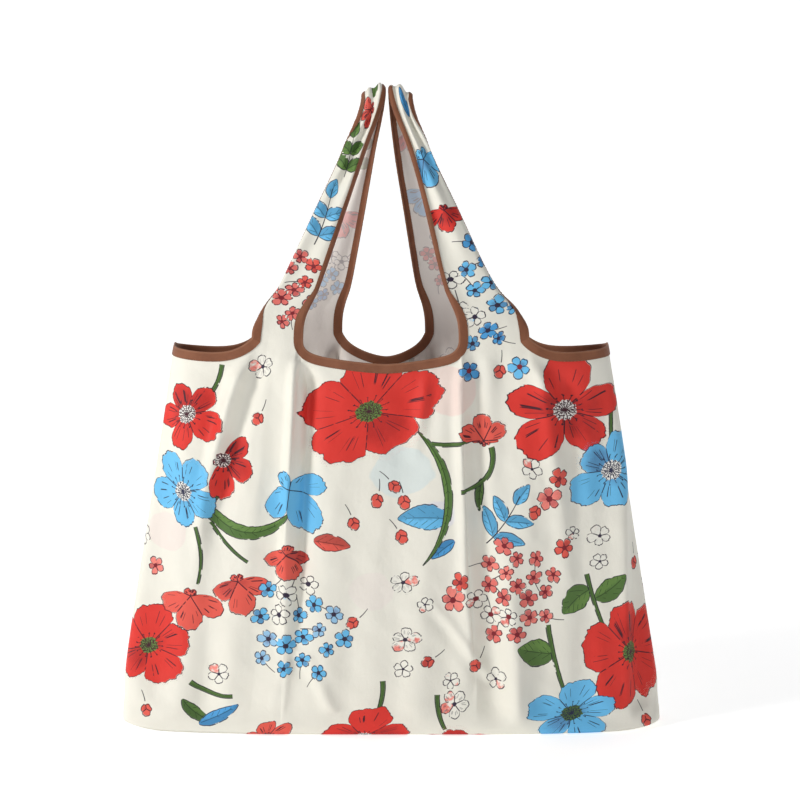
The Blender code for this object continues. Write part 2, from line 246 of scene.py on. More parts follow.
FRONT_PLEATS = (
    (((-0.137, 0.412), (-0.163, 0.335), (-0.191, 0.235), (-0.204, 0.120)), 0.0105, 0.008),
    (((-0.094, 0.378), (-0.101, 0.260), (-0.108, 0.130), (-0.110, 0.020)), 0.0100, 0.0065),
    (((0.036, 0.376), (0.030, 0.330), (0.022, 0.270)), 0.0040, 0.006),
    (((0.068, 0.396), (0.071, 0.290), (0.080, 0.170), (0.084, 0.040)), 0.0085, 0.0075),
    (((0.138, 0.408), (0.160, 0.330), (0.176, 0.220), (0.186, 0.110)), 0.0080, 0.010),
    (((0.128, 0.000), (0.122, 0.110), (0.110, 0.260)), 0.0070, 0.011),
    (((0.100, 0.060), (0.060, 0.115), (0.020, 0.160)), 0.0026, 0.005),
    (((-0.060, 0.030), (-0.085, 0.080), (-0.150, 0.120)), 0.0026, 0.006),
)
BACK_PLEATS = (
    (((-0.140, 0.412), (-0.170, 0.320), (-0.186, 0.180), (-0.190, 0.060)), 0.0110, 0.0085),
    (((-0.052, 0.402), (-0.070, 0.300), (-0.085, 0.130), (-0.088, 0.030)), 0.0105, 0.0075),
    (((0.040, 0.402), (0.058, 0.290), (0.064, 0.110), (0.068, 0.030)), 0.0105, 0.0075),
    (((0.138, 0.410), (0.165, 0.300), (0.190, 0.150), (0.196, 0.060)), 0.0110, 0.0085),
    (((0.000, 0.010), (0.006, 0.120), (-0.008, 0.250)), 0.0060, 0.010),
    (((-0.140, 0.010), (-0.132, 0.110), (-0.120, 0.220)), 0.0060, 0.010),
    (((0.120, 0.050), (0.070, 0.100), (-0.020, 0.130)), 0.0020, 0.007),
)


def ripple(x, z, seed, pitch, lean):
    """Uneven vertical waves, worked out from a few sines."""
    sway = 0.35 * np.sin(z * 11.0 + seed) + 0.2 * np.sin(z * 23.0 + 2.1 * seed)
    return np.sin(2 * math.pi * (x / pitch + lean * z + seed * 0.37) + sway * 2.2)


def crumple(x, z, seed):
    """Small creases in no one direction."""
    total = 0.0
    for k in range(6):
        angle = 1.1 * k + seed
        pitch = 0.034 - 0.0035 * k
        along = (x * math.cos(angle) + z * math.sin(angle)) / pitch
        bend = 0.9 * np.sin((z * math.cos(angle) - x * math.sin(angle)) / (pitch * 2.3) + k * seed)
        wave = np.sin(2 * math.pi * along + bend * 2.0 + k)
        total = total + np.sign(wave) * np.abs(wave) ** 1.4 / (k + 1.5)
    return total / 2.2


def fold_height(x, z, face):
    """How far the cloth stands out from the body's smooth wall."""
    top = smooth(z, 0.10, 0.36)
    low = 1.0 - smooth(z, 0.02, 0.20)
    height = 0.0026 * ripple(x, z, 0.8 + face, 0.092, 0.9 * face) * (0.5 + 0.7 * top)
    height += 0.0016 * ripple(x, z, 2.9 + face, 0.049, -0.7) * (0.4 + 0.6 * low)
    height += 0.0009 * crumple(x, z, 1.7 + face)
    for points, amount, width in FRONT_PLEATS if face == FRONT else BACK_PLEATS:
        height += pleat(x, z, points, amount, width)
    if face == FRONT:
        height -= 0.0060 * np.exp(-((x - 0.112 - 0.06 * (z - 0.15)) / 0.026) ** 2) * (1 - smooth(z, 0.26, 0.36))
        height -= 0.0030 * np.exp(-((x + 0.185) / 0.022) ** 2) * low
        height -= 0.0028 * np.exp(-((x + 0.128) / 0.018) ** 2) * low
        crease = 0.2450 - 0.022 * np.clip(z - 0.02, 0.0, None)
        beyond = np.maximum(x - crease, 0.0)
        turned = np.exp(-((x - crease) / 0.009) ** 2) * 0.0026 - 1.05 * beyond
        height += turned * (1 - smooth(z, 0.22, 0.33))
    for side in (LEFT, RIGHT):
        inner, outer = FOOT_X[face, side]
        centre = (inner + outer) / 2
        away = np.hypot(x - centre, z - STRAP_Z) + 0.004
        turn = np.arctan2(x - centre, STRAP_Z + 0.03 - z)
        height += 0.0030 * np.cos(turn * 11.0 + 1.4 * side) * smooth(away, 0.0, 0.03) * np.exp(-away / 0.075)
    return height


def gusset_dent(y, z):
    """The side walls fold in along the side seam. The same for the front and the back."""
    tall = np.sin(math.pi * np.clip(z / SHOULDER_Z, 0, 1)) ** 0.8
    return -0.0075 * np.exp(-(y / 0.017) ** 2) * tall


def body_grid(face, grid):
    """Points, outward normals and places in the cut piece of a panel's body, bottom row first."""
    s, marks = body_columns(face, grid)
    across = across_of_arc(s)
    edge = top_edge(s, face)
    z_base = 0.0004 + 0.011 * smooth(np.abs(s), 0.20, HALF_CUT + 0.02) ** 2
    rows, places = [], []
    for k in range(grid.base_cells):
        reach = k / grid.base_cells
        y = face * HALF_DEPTH * plan_depth(across) * reach
        rows.append(np.stack([half_width(0.0) * across, y, np.full_like(s, 0.0004) + z_base * reach], 1))
        places.append(np.stack([s, np.full_like(s, -HALF_DEPTH * (1 - reach))], 1))
    for k in range(grid.wall_cells + 1):
        part = k / grid.wall_cells
        z = z_base + (edge - z_base) * part
        x = half_width(z) * across
        y = face * half_depth(z) * plan_depth(across)
        along = np.stack([np.gradient(x, s), np.gradient(y, s)], 1)
        out = unit(np.stack([-face * along[:, 1], face * along[:, 0]], 1))
        side_fade = 1.0 - np.abs(across) ** 14
        rise = smooth(z, 0.004, 0.035)
        under_edge = 0.12 + 0.88 * smooth(edge - z, 0.0095, 0.036)
        push = fold_height(x, z, face) * side_fade * rise * under_edge
        push = push + gusset_dent(y, z) * rise * smooth(np.abs(across), 0.80, 0.97)
        lean = -0.0016 * face * side_fade * np.sin(math.pi * np.clip(z / 0.39, 0, 1))
        x = x + out[:, 0] * push
        y = y + out[:, 1] * push - lean
        rows.append(np.stack([x, y, z], 1))
        places.append(np.stack([s * half_width(z) / BASE_HALF_WIDTH, z], 1))
    return np.array(rows), np.array(places), marks, s


STRAP_TOP_CUT = 0.048        # a strap's cut width at the shoulder seam, where it is gathered
BEND_Z = HANDLE_TOP_Z - TOP_RADIUS


def spline(p0, p1, p2, p3, f):
    """A smooth curve, read at a share of the way from p1 to p2."""
    return 0.5 * (2 * p1 + (p2 - p0) * f + (2 * p0 - 5 * p1 + 4 * p2 - p3) * f ** 2
                  + (3 * p1 - p0 - 3 * p2 + p3) * f ** 3)


def curve_at(values, t):
    """Smooth curve through even steps."""
    n = len(values) - 1
    k = min(int(t * n), n - 1)
    return spline(*(values[min(max(k + d, 0), n)] for d in (-1, 0, 1, 2)), t * n - k)


CREST_DROP = 0.0080          # the gathered top is this much lower at a strap's outer edge
OUTER_ROLL = 0.0040          # radius of a front strap's outer edge, which rolls behind it
OUTER_RETURN = 0.0050        # and lies flat behind it for this much
INNER_ROLL = 0.0030          # radius of its inner edge, which turns a quarter
INNER_RETURN = 0.0040        # and runs straight back for this much
OUTER_ROLL_SHARE = 0.30      # share of the strap's width in each roll
INNER_ROLL_SHARE = 0.16


def rolled_section(w, inner_x, outer_x, side, inner_part, outer_part):
    """x across a strap whose edges roll in towards the bag's inside, and how far in they lie.

    inner_part and outer_part are how much of each edge's whole roll there is.
    """
    quarter, half = math.pi / 2, math.pi
    inner_share, outer_share = INNER_ROLL_SHARE * inner_part, OUTER_ROLL_SHARE * outer_part
    inner_length = (INNER_ROLL * quarter + INNER_RETURN) * inner_part
    outer_length = (OUTER_ROLL * half + OUTER_RETURN) * outer_part
    near = inner_x + side * INNER_ROLL * math.sin(min(inner_length / INNER_ROLL, quarter))
    far = outer_x - side * OUTER_ROLL * math.sin(min(outer_length / OUTER_ROLL, quarter))
    x = near + (far - near) * np.clip((w - inner_share) / (1.0 - inner_share - outer_share), 0.0, 1.0)
    inner_arc = inner_length * np.clip(1.0 - w / max(inner_share, 1e-6), 0.0, 1.0)
    outer_arc = outer_length * np.clip(1.0 - (1.0 - w) / max(outer_share, 1e-6), 0.0, 1.0)
    inner_turn = np.minimum(inner_arc / INNER_ROLL, quarter)
    outer_turn = np.minimum(outer_arc / OUTER_ROLL, half)
    inner_past = inner_arc - inner_turn * INNER_ROLL
    outer_past = outer_arc - outer_turn * OUTER_ROLL
    x = x - side * INNER_ROLL * np.sin(inner_turn) + side * (OUTER_ROLL * np.sin(outer_turn) - outer_past)
    depth = INNER_ROLL * (1.0 - np.cos(inner_turn)) + inner_past + OUTER_ROLL * (1.0 - np.cos(outer_turn))
    return x, depth


def strap_grid(face, side, foot, foot_places, grid):
    """Points and places in the cut piece of a strap, from its foot, inner edge first."""
    w = np.linspace(0.0, 1.0, grid.strap_cells + 1)
    inner_x, outer_x = STRAP_X[face, side]
    cut_half = abs(foot_places[-1, 0] - foot_places[0, 0]) / 2
    rows, places = [], []
    seed = 1.3 * side + 0.7 * face
    for step in grid.strap_steps():
        t = min(step, 1.0)
        turn = math.pi / 2 * max(0.0, step - 1.0)
        length = (BEND_Z - STRAP_Z) * t + TOP_RADIUS * turn
        a, b = curve_at(inner_x, t), curve_at(outer_x, t)
        if face == FRONT:
            inner_part = outer_part = float(smooth(t, 0.0, 0.20))
        else:
            outer_part = float(smooth(t, 0.55, 0.95))
            inner_part = 0.75 * float(smooth(t, 0.0, 0.25)) + 0.25 * outer_part
        outer_part *= 1.0 - 0.42 * float(smooth(t, 0.74, 0.92))
        x, rolled_in = rolled_section(w, a, b, side, inner_part, outer_part)
        base = foot[:, 1] * (1 - t) + face * TOP_RADIUS * t
        depth = rolled_in * (1 - 0.25 * t)
        pleats = (0.0008 + 0.0034 * t * t) * np.sin(2 * math.pi * (w * (1.6 + 0.9 * t)) + seed + 1.2 * t)
        waves = 0.0013 * np.sin(2 * math.pi * (w * 0.8 + t * 1.3) + seed * 2.0) * math.sin(math.pi * t)
        fine = 0.0005 * crumple(x * 1.3, np.full_like(x, STRAP_Z + length), seed)
        near_edge = smooth(np.minimum(w, 1 - w), 0.03, 0.28)
        off = (pleats * smooth(t, 0.0, 0.2) + waves + fine * smooth(t, 0.0, 0.2)) * near_edge
        at_seam = smooth(t, 0.86, 1.0)
        shared = 0.0020 * np.sin(2 * math.pi * w * 2.0 + 1.3 * side)
        off = off * (1 - at_seam) + shared * near_edge * at_seam
        radial = TOP_RADIUS + off - depth
        y = face * radial * math.cos(turn) if turn > 0 else base + face * (off - depth)
        z = STRAP_Z + (BEND_Z - STRAP_Z) * t + radial * math.sin(turn)
        z = z - (CREST_DROP * smooth(w, 0.3, 1.0) + 0.0020 * (1 - smooth(w, 0.0, 0.25))) * smooth(t, 0.75, 1.0)
        row = np.stack([x, y, z], 1)
        row = row + (foot - np.stack([a + (b - a) * w, foot[:, 1], foot[:, 2]], 1)) * (1 - smooth(t, 0.0, 0.2))
        rows.append(row)
        flat_half = cut_half + (STRAP_TOP_CUT / 2 - cut_half) * smooth(t, 0.0, 0.6)
        mid = (a + b) / 2
        places.append(np.stack([mid + side * flat_half * (2 * w - 1), np.full_like(w, STRAP_Z + length)], 1))
    rows[0] = foot.copy()
    return np.array(rows), np.array(places)


def grid_normals(points, face):
    """Unit normals of a grid, turned to the side where its face looks."""
    normal = unit(np.cross(np.gradient(points, axis=1), np.gradient(points, axis=0)))
    return normal * (1.0 if normal[..., 1].mean() * face > 0 else -1.0)


# Materials: a small language for shader nodes

def operator(operation, swapped=False):
    """A Val's answer to a Python operator."""
    def act(self, *others):
        return calc(operation, *others, self) if swapped else calc(operation, self, *others)
    return act


class Val:
    """A socket that adds Math nodes when it is used in sums."""
    tree = None

    def __init__(self, socket):
        self.socket = socket

    __add__ = __radd__ = operator("ADD")
    __sub__ = operator("SUBTRACT")
    __rsub__ = operator("SUBTRACT", swapped=True)
    __mul__ = __rmul__ = operator("MULTIPLY")
    __truediv__ = operator("DIVIDE")
    __pow__ = operator("POWER")
    __abs__ = operator("ABSOLUTE")


def node(kind, output, inputs=None, **settings):
    """Adds a node, feeds its inputs by name or number, and gives one of its outputs."""
    made = Val.tree.nodes.new(kind)
    for key, value in settings.items():
        setattr(made, key, value)
    for key, value in (inputs or {}).items():
        feed(made.inputs[key], value)
    return Val(made.outputs[output])


def feed(socket, value):
    if isinstance(value, Val):
        Val.tree.links.new(value.socket, socket)
    elif isinstance(value, tuple) and socket.type == "RGBA":
        socket.default_value = (*value, 1.0)
    else:
        socket.default_value = value


def calc(operation, *values):
    return node("ShaderNodeMath", 0, dict(enumerate(values)), operation=operation)


ROOT, SINE, COSINE, FRACTION, MOST = (
    partial(calc, operation) for operation in ("SQRT", "SINE", "COSINE", "FRACT", "MAXIMUM"))


def ease(value, low, high, to_low=0.0, to_high=1.0):
    ends = {"Value": value, "From Min": low, "From Max": high, "To Min": to_low, "To Max": to_high}
    return node("ShaderNodeMapRange", 0, ends, interpolation_type="SMOOTHSTEP")


def blend_colours(factor, a, b, mode="MIX"):
    return node("ShaderNodeMix", 2, {0: factor, 6: a, 7: b}, data_type="RGBA", blend_type=mode, clamp_factor=True)


def attribute(name, output="Vector"):
    return node("ShaderNodeAttribute", output, attribute_name=name, attribute_type="GEOMETRY")


def object_place():
    return node("ShaderNodeTexCoord", "Object")


def split(vector):
    return [Val(out) for out in node("ShaderNodeSeparateXYZ", 0, {0: vector}).socket.node.outputs]


def join(x, y, z=0.0):
    return node("ShaderNodeCombineXYZ", 0, {0: x, 1: y, 2: z})


def noise(vector, scale, detail=2.0, rough=0.5):
    settings = {"Vector": vector, "Scale": scale, "Detail": detail, "Roughness": rough}
    return node("ShaderNodeTexNoise", "Fac", settings)


def bump(height, strength, distance, below=None):
    settings = {"Strength": strength, "Distance": distance, "Height": height}
    if below is not None:
        settings["Normal"] = below
    return node("ShaderNodeBump", 0, settings)


def new_material(name):
    mat = bpy.data.materials.new(name)
    mat.use_nodes = True
    Val.tree = mat.node_tree
    return mat, mat.node_tree.nodes["Principled BSDF"]


def dress(shader, colour, roughness, normal, **levels):
    """Feeds a shader. levels are its other inputs, with an underscore for a space."""
    for name, value in (("Base Color", colour), ("Roughness", roughness), ("Normal", normal)):
        feed(shader.inputs[name], value)
    for name, level in levels.items():
        shader.inputs[name.replace("_", " ")].default_value = level


def dimmed(colour, share):
    return tuple(share * level for level in colour)


INK = (0.020, 0.014, 0.030)
INK_WIDTH = 0.0012
PAPER = (0.825, 0.810, 0.730)
FADED = (0.88, 0.81, 0.79)   # the cloth's wrong side, and how much of it covers the print there
FADED_SHARE = 0.56
# How much the painted show-through patches cover the colour.
PAINTED_SHOW_THROUGH_SHARE = 0.55
STAMENS = 15.0
VEIN_PITCH = 0.0080
CLOTH_PITCH = 0.00045        # of the cloth's threads
LEAF_LAYERS = ("leaf", "stem")
FLOWER_LAYERS = ("bloom", "over", "small")
# Painted show-through: u, v, radius and colour of patches painted for the other side's print, seen by light through
# the thin cloth.
PAINTED_SHOW_THROUGH = (
    (0.058, 0.352, 0.040, (0.82, 0.60, 0.55)),
    (0.010, 0.270, 0.042, (0.60, 0.72, 0.74)),
    (0.045, 0.226, 0.030, (0.66, 0.66, 0.76)),
    (-0.232, 0.205, 0.034, (0.80, 0.68, 0.64)),
    (0.205, 0.330, 0.030, (0.78, 0.70, 0.66)),
    (-0.020, 0.150, 0.034, (0.80, 0.73, 0.68)),
)


def draw_bloom(layer, under):
    """Paints a layer's flowers over a colour: uneven petals, broken ink lines, a heart and stamens."""
    x, y, number = split(attribute(layer + "_at"))
    number = calc("ROUND", number)
    size, lobes, notch = split(attribute(layer + "_shape"))
    heart, hollow, fan = split(attribute(layer + "_style"))
    petal = attribute(layer + "_colour", "Color")
    heart_colour = attribute(layer + "_heart", "Color")
    r = ROOT(x * x + y * y)
    angle = calc("ARCTAN2", y, x)
    around = join(COSINE(angle), SINE(angle), number * 3.7)
    wobble = noise(around, 3.4, 3.0, 0.6) - 0.5
    turn = angle * lobes / (2 * math.pi) + 0.5
    share = FRACTION(turn)
    petal_number = calc("FLOORED_MODULO", calc("FLOOR", turn), MOST(lobes, 1.0))
    chance = node("ShaderNodeTexWhiteNoise", "Value", {"Vector": join(petal_number, number, 0.5)})
    side = abs(share - 0.5) * 2.0
    many = ease(lobes, 1.5, 2.5)
    # The outline, and the ink line that misses it a little
    short = 1.0 - fan * ease(COSINE(angle), 0.25, -0.45)
    uneven = 0.84 + 0.26 * chance * many
    limit = size * short * uneven * (1.0 - notch * side ** 2.8 + wobble * 0.36 * many)
    inside = ease(limit - r, -0.0001, 0.0002)
    grain = noise(join(x, y, number), 150.0, 2.0)
    beside = ROOT((x - 0.0006) * (x - 0.0006) + (y + 0.0005) * (y + 0.0005))
    line = ease(abs(limit - beside), INK_WIDTH * 0.58, INK_WIDTH * 0.34)
    inked = line * ease(grain, 0.34, 0.40)
    # Ink between the petals, and strokes on them
    at = r / MOST(limit, 0.0005)
    arm = r * math.pi / MOST(lobes, 1.0)
    petal_line = ease((1.0 - side) * arm, 0.0007, 0.0004) * ease(at, 0.98, 0.94) * many
    petal_line = petal_line * ease(grain, 0.36, 0.42)
    off_middle = abs(abs(side - 0.45 + wobble * 0.9) - 0.13)
    stroke = ease(off_middle * arm, 0.0006, 0.0003) * ease(at, 0.34 + 0.2 * chance, 0.42 + 0.2 * chance)
    stroke = stroke * ease(at + (grain - 0.5) * 0.5, 0.82, 0.76) * ease(size, 0.012, 0.018)
    # Paint: a deeper tone on some petals, and bare cloth on some of the hollow flowers'
    deep = blend_colours(1.0, petal, (0.72, 0.60, 0.66), "MULTIPLY")
    tone = blend_colours(ease(chance + (at - 0.5) * 0.5 + (grain - 0.5) * 0.12, 0.16, 0.40), deep, petal)
    tone = blend_colours(hollow * ease(chance + grain * 0.5, 1.25, 1.15), tone, PAPER)
    # The heart, with speckles, and its ring of stamens
    rim = heart * size * (1.0 + wobble * 0.8)
    spokes = FRACTION(angle * STAMENS / (2 * math.pi) + grain * 0.5)
    sideways = (spokes - 0.5) * (2 * math.pi / STAMENS) * r
    outer_ring = r - rim * (1.42 + 0.2 * grain)
    dot = ease(ROOT(sideways * sideways + outer_ring * outer_ring), 0.0011, 0.0008)
    filament = ease(abs(sideways), 0.00045, 0.00025) * ease(outer_ring, 0.0003, -0.0003)
    stamens = MOST(dot, filament) * ease(rim, 0.0042, 0.0052) * ease(grain, 0.30, 0.36)
    tone = blend_colours(ease(rim - r, -0.0002, 0.0002) * ease(rim, 0.0006, 0.0010), tone, heart_colour)
    speckle = ease(noise(join(x, y, number), 620.0, 1.0), 0.50, 0.55) * ease(rim - r, 0.0, 0.0004)
    speckle = speckle * ease(rim, 0.0026, 0.0040)
    lines = MOST(MOST(petal_line, stroke) * ease(r - rim, -0.0004, 0.0004), MOST(stamens, speckle))
    on_colour = blend_colours(1.0, petal, (0.13, 0.06, 0.12), "MULTIPLY")
    ink = blend_colours(MOST(hollow, 0.55), on_colour, INK)
    present = ease(size, 0.0010, 0.0015)
    filled = blend_colours(inside * present, under, blend_colours(lines, tone, ink))
    return blend_colours(inked * present, filled, ink)


def draw_leaf(layer, under):
    """Paints a layer's leaves and stems over a colour, with a midrib and broken ink lines."""
    along, off, seed = split(attribute(layer + "_at"))
    length, width, stem = split(attribute(layer + "_shape"))
    colour = attribute(layer + "_colour", "Color")
    share = calc("MINIMUM", MOST(along / MOST(length, 0.001), 0.0), 1.0)
    bulge = MOST(SINE(share ** 0.82 * math.pi), 0.0) ** 0.80
    grain = noise(join(along, off, seed), 120.0, 2.0)
    half = width * (bulge * (1.0 - stem) + stem * (1.0 - share * 0.30)) * (0.80 + grain * 0.40)
    away = abs(off)
    within = ease(along, 0.0, 0.0006) * ease(length - along, 0.0, 0.0006)
    inside = ease(half - away, -0.0002, 0.0002) * within
    inked = ease(abs(half - abs(off + 0.0005)), 0.0006, 0.0004) * within * ease(width, 0.0013, 0.0018)
    inked = inked * ease(grain, 0.36, 0.42)
    rib = ease(away, 0.0006, 0.0003) * ease(share, 0.03, 0.08) * ease(share, 0.86, 0.78)
    vein = FRACTION((along - away * 1.3) / VEIN_PITCH)
    vein = ease(abs(vein - 0.5), 0.08, 0.04) * ease(half - away, 0.0014, 0.0022) * ease(grain, 0.46, 0.52)
    dark = blend_colours(1.0, colour, (0.28, 0.30, 0.32), "MULTIPLY")
    shade = blend_colours(1.0, colour, (0.66, 0.70, 0.72), "MULTIPLY")
    tone = blend_colours(ease(grain * 0.5 + off / MOST(width, 0.001) * 0.35, 0.20, 0.36), shade, colour)
    tone = blend_colours(MOST(rib, vein) * (1.0 - stem), tone, dark)
    ink = blend_colours(0.65, dark, INK)
    present = ease(length, 0.002, 0.003)
    return blend_colours(inked * present, blend_colours(inside * present, under, tone), ink)


def draw_painted_show_through(u, v, under):
    """Painted show-through: faint patches painted into the colour, standing for the other side's print as light
    through the thin cloth would show it.
    """
    edge = noise(join(u, v), 24.0, 3.0) * 0.022
    for spot_u, spot_v, size, colour in PAINTED_SHOW_THROUGH:
        away = ROOT((u - spot_u) * (u - spot_u) + (v - spot_v) * (v - spot_v) * 1.5) + edge
        under = blend_colours(ease(away, size + 0.0015, size - 0.0015) * PAINTED_SHOW_THROUGH_SHARE, under, colour)
    return under


def cloth_relief(u, v):
    """Bumps of thin plain-woven cloth: threads, and soft crinkles of a few millimetres."""
    weave = threads_of(u, CLOTH_PITCH) * threads_of(v, CLOTH_PITCH)
    crinkle = noise(join(u, v * 0.7), 62.0, 4.0, 0.55)
    return bump(weave, 0.25, 0.00010, bump(crinkle, 0.55, 0.0016))


def threads_of(place, pitch):
    """Even ridges across a place, one at each pitch."""
    return SINE(place * (2 * math.pi / pitch))


def printed_cloth(name, faded):
    """Thin polyester with the floral print, or its wrong side, where the print only ghosts through."""
    mat, shader = new_material(name)
    u, v, _ = split(attribute("cut_place"))
    mottle = noise(join(u, v), 45.0, 3.0)
    colour = blend_colours(mottle, (0.780, 0.760, 0.672), (0.820, 0.803, 0.718))
    # Painted show-through of the other side's print, in the base colour.
    colour = draw_painted_show_through(u, v, colour)
    for layer in LEAF_LAYERS:
        colour = draw_leaf(layer, colour)
    for layer in FLOWER_LAYERS:
        colour = draw_bloom(layer, colour)
    if faded:
        colour = blend_colours(FADED_SHARE, colour, FADED)
    dress(shader, colour, ease(mottle, 0.3, 0.7, 0.52, 0.64), cloth_relief(u, v),
          Sheen_Weight=0.04, Sheen_Roughness=0.45, Specular_IOR_Level=0.30)
    return mat


def tape_cloth():
    """Brown woven tape: fine ribs across it and a lighter band along its fold at the edge."""
    mat, shader = new_material("brown_tape")
    run, over, _ = split(attribute("tape_place"))
    streak = noise(join(run * 0.4, over * 4.0), 320.0, 3.0)
    patch = noise(join(run, over), 38.0, 3.0)
    colour = blend_colours(streak, (0.155, 0.052, 0.023), (0.255, 0.092, 0.042))
    colour = blend_colours(ease(patch, 0.35, 0.7) * 0.5, colour, (0.300, 0.118, 0.060))
    # A lighter band along the tape's fold at the cloth's edge.
    fold_band = ease(abs(over), 0.0016, 0.0004)
    colour = blend_colours(fold_band * 0.35, colour, (0.410, 0.200, 0.115))
    ribs = bump(threads_of(run, 0.0009), 0.4, 0.00018)
    dress(shader, colour, ease(streak, 0.2, 0.8, 0.58, 0.74),
          bump(threads_of(run + over, 0.0013), 0.35, 0.00018, ribs),
          Sheen_Weight=0.12, Sheen_Roughness=0.4, Specular_IOR_Level=0.35)
    return mat


def thread(name, colour):
    mat, shader = new_material(name)
    ply = noise(object_place(), 1500.0, 2.0)
    dress(shader, blend_colours(ply, dimmed(colour, 0.7), colour), 0.6, bump(ply, 0.4, 0.0001))
    return mat


def plain_cloth(name, colour):
    """Unprinted cloth of the seam allowances, woven like the panels."""
    mat, shader = new_material(name)
    x, y, z = split(object_place())
    weave = threads_of(x + y, 0.0005) * threads_of(z, 0.0005)
    mottle = noise(join(x, y, z), 60.0, 3.0)
    dress(shader, blend_colours(mottle, dimmed(colour, 0.86), colour), ease(mottle, 0.3, 0.7, 0.6, 0.72),
          bump(weave, 0.3, 0.0001, bump(mottle, 0.4, 0.001)))
    return mat


def webbing():
    """Narrow black webbing with a herringbone weave."""
    mat, shader = new_material("black_webbing_weave")
    x, y, z = split(object_place())
    weave = threads_of(z + calc("PINGPONG", x, 0.001), 0.0011)
    fuzz = noise(join(x, y, z), 900.0, 3.0)
    colour = blend_colours(ease(weave, -0.4, 1.0), (0.010, 0.010, 0.011), (0.034, 0.034, 0.038))
    dress(shader, colour, ease(fuzz, 0.2, 0.8, 0.55, 0.8), bump(weave, 0.5, 0.0002, bump(fuzz, 0.3, 0.0002)),
          Sheen_Weight=0.3)
    return mat


# The print: a generic scatter of painted flowers, leaves, stems and buds on the cut piece

RED = (0.680, 0.034, 0.024)
CORAL = (0.740, 0.100, 0.072)
ROSE = (0.740, 0.165, 0.140)
PINK = (0.840, 0.230, 0.190)
SKY = (0.140, 0.490, 0.800)
BLUE = (0.075, 0.340, 0.680)
PALE_BLUE = (0.300, 0.540, 0.760)
GREEN = (0.085, 0.170, 0.035)
LEAF_GREEN = (0.120, 0.230, 0.050)
WHITE = (0.860, 0.850, 0.800)
DARK = (0.030, 0.020, 0.045)
MAROON = (0.200, 0.012, 0.020)
BUD_SIZE = 0.0078
LARGEST_REACH = 0.06         # how far past the cut piece's edge a part can still show on it
NEAR_PART = 0.010            # faces further than this from a part don't draw it

# Flowers: u, v and size in millimetres, colour, petals, how deep the notches between them are, the
# heart's share of the size and its colour, turn in degrees, how much shorter one side is, and height
# over width before the turn
FLOWERS = {
    "bloom": (
        (-22, 330, 70, RED, 5, 0.22, 0.19, LEAF_GREEN, 20, 0.0, 0.72),
        (-206, 326, 41, RED, 5, 0.45, 0.24, WHITE, 40, 0.0, 0.85),
        (-212, 248, 40, SKY, 5, 0.38, 0.26, WHITE, 120, 0.0, 0.80),
        (-156, 158, 32, CORAL, 5, 0.34, 0.0, DARK, -78, 0.72),
        (-252, 88, 50, RED, 5, 0.26, 0.20, LEAF_GREEN, 15, 0.0, 0.80),
        (93, 300, 25, CORAL, 6, 0.30, 0.0, DARK, 95, 0.75),
        (176, 330, 50, RED, 5, 0.48, 0.19, WHITE, 90, 0.0, 1.35),
        (248, 82, 56, RED, 5, 0.24, 0.19, LEAF_GREEN, 100, 0.0, 0.90),
        (-28, -2, 52, RED, 5, 0.34, 0.16, WHITE, 10, 0.0, 0.55),
        (-126, -4, 30, CORAL, 5, 0.36, 0.18, DARK, 30, 0.0, 0.60),
        (-104, 186, 26, CORAL, 4, 0.30, 0.0, DARK, -90, 0.60),
        (30, 578, 31, SKY, 5, 0.36, 0.0, WHITE, -70, 0.60),
        (50, 528, 24, RED, 5, 0.34, 0.0, DARK, -80, 0.70),
        (-20, 628, 18, CORAL, 5, 0.36, 0.0, DARK, 200, 0.50),
        (-246, 522, 24, CORAL, 5, 0.34, 0.0, DARK, -80, 0.60),
        (-152, 545, 24, SKY, 5, 0.36, 0.0, WHITE, -100, 0.60),
        (-172, 604, 20, RED, 5, 0.34, 0.0, DARK, -70, 0.60),
    ),
    "over": (
        (-100, 252, 44, SKY, 4, 0.55, 0.0, WHITE, 300, 0.55, 0.80),
        (-170, 280, 36, RED, 5, 0.40, 0.20, WHITE, -28, 0.75),
        (-205, 142, 32, CORAL, 5, 0.34, 0.0, DARK, -95, 0.72),
        (226, 268, 46, SKY, 5, 0.36, 0.24, WHITE, 215, 0.0, 0.85),
        (184, 22, 50, SKY, 5, 0.42, 0.24, GREEN, 12, 0.0, 0.62),
        (70, -14, 40, RED, 5, 0.34, 0.16, WHITE, 170, 0.0, 0.60),
    ),
}
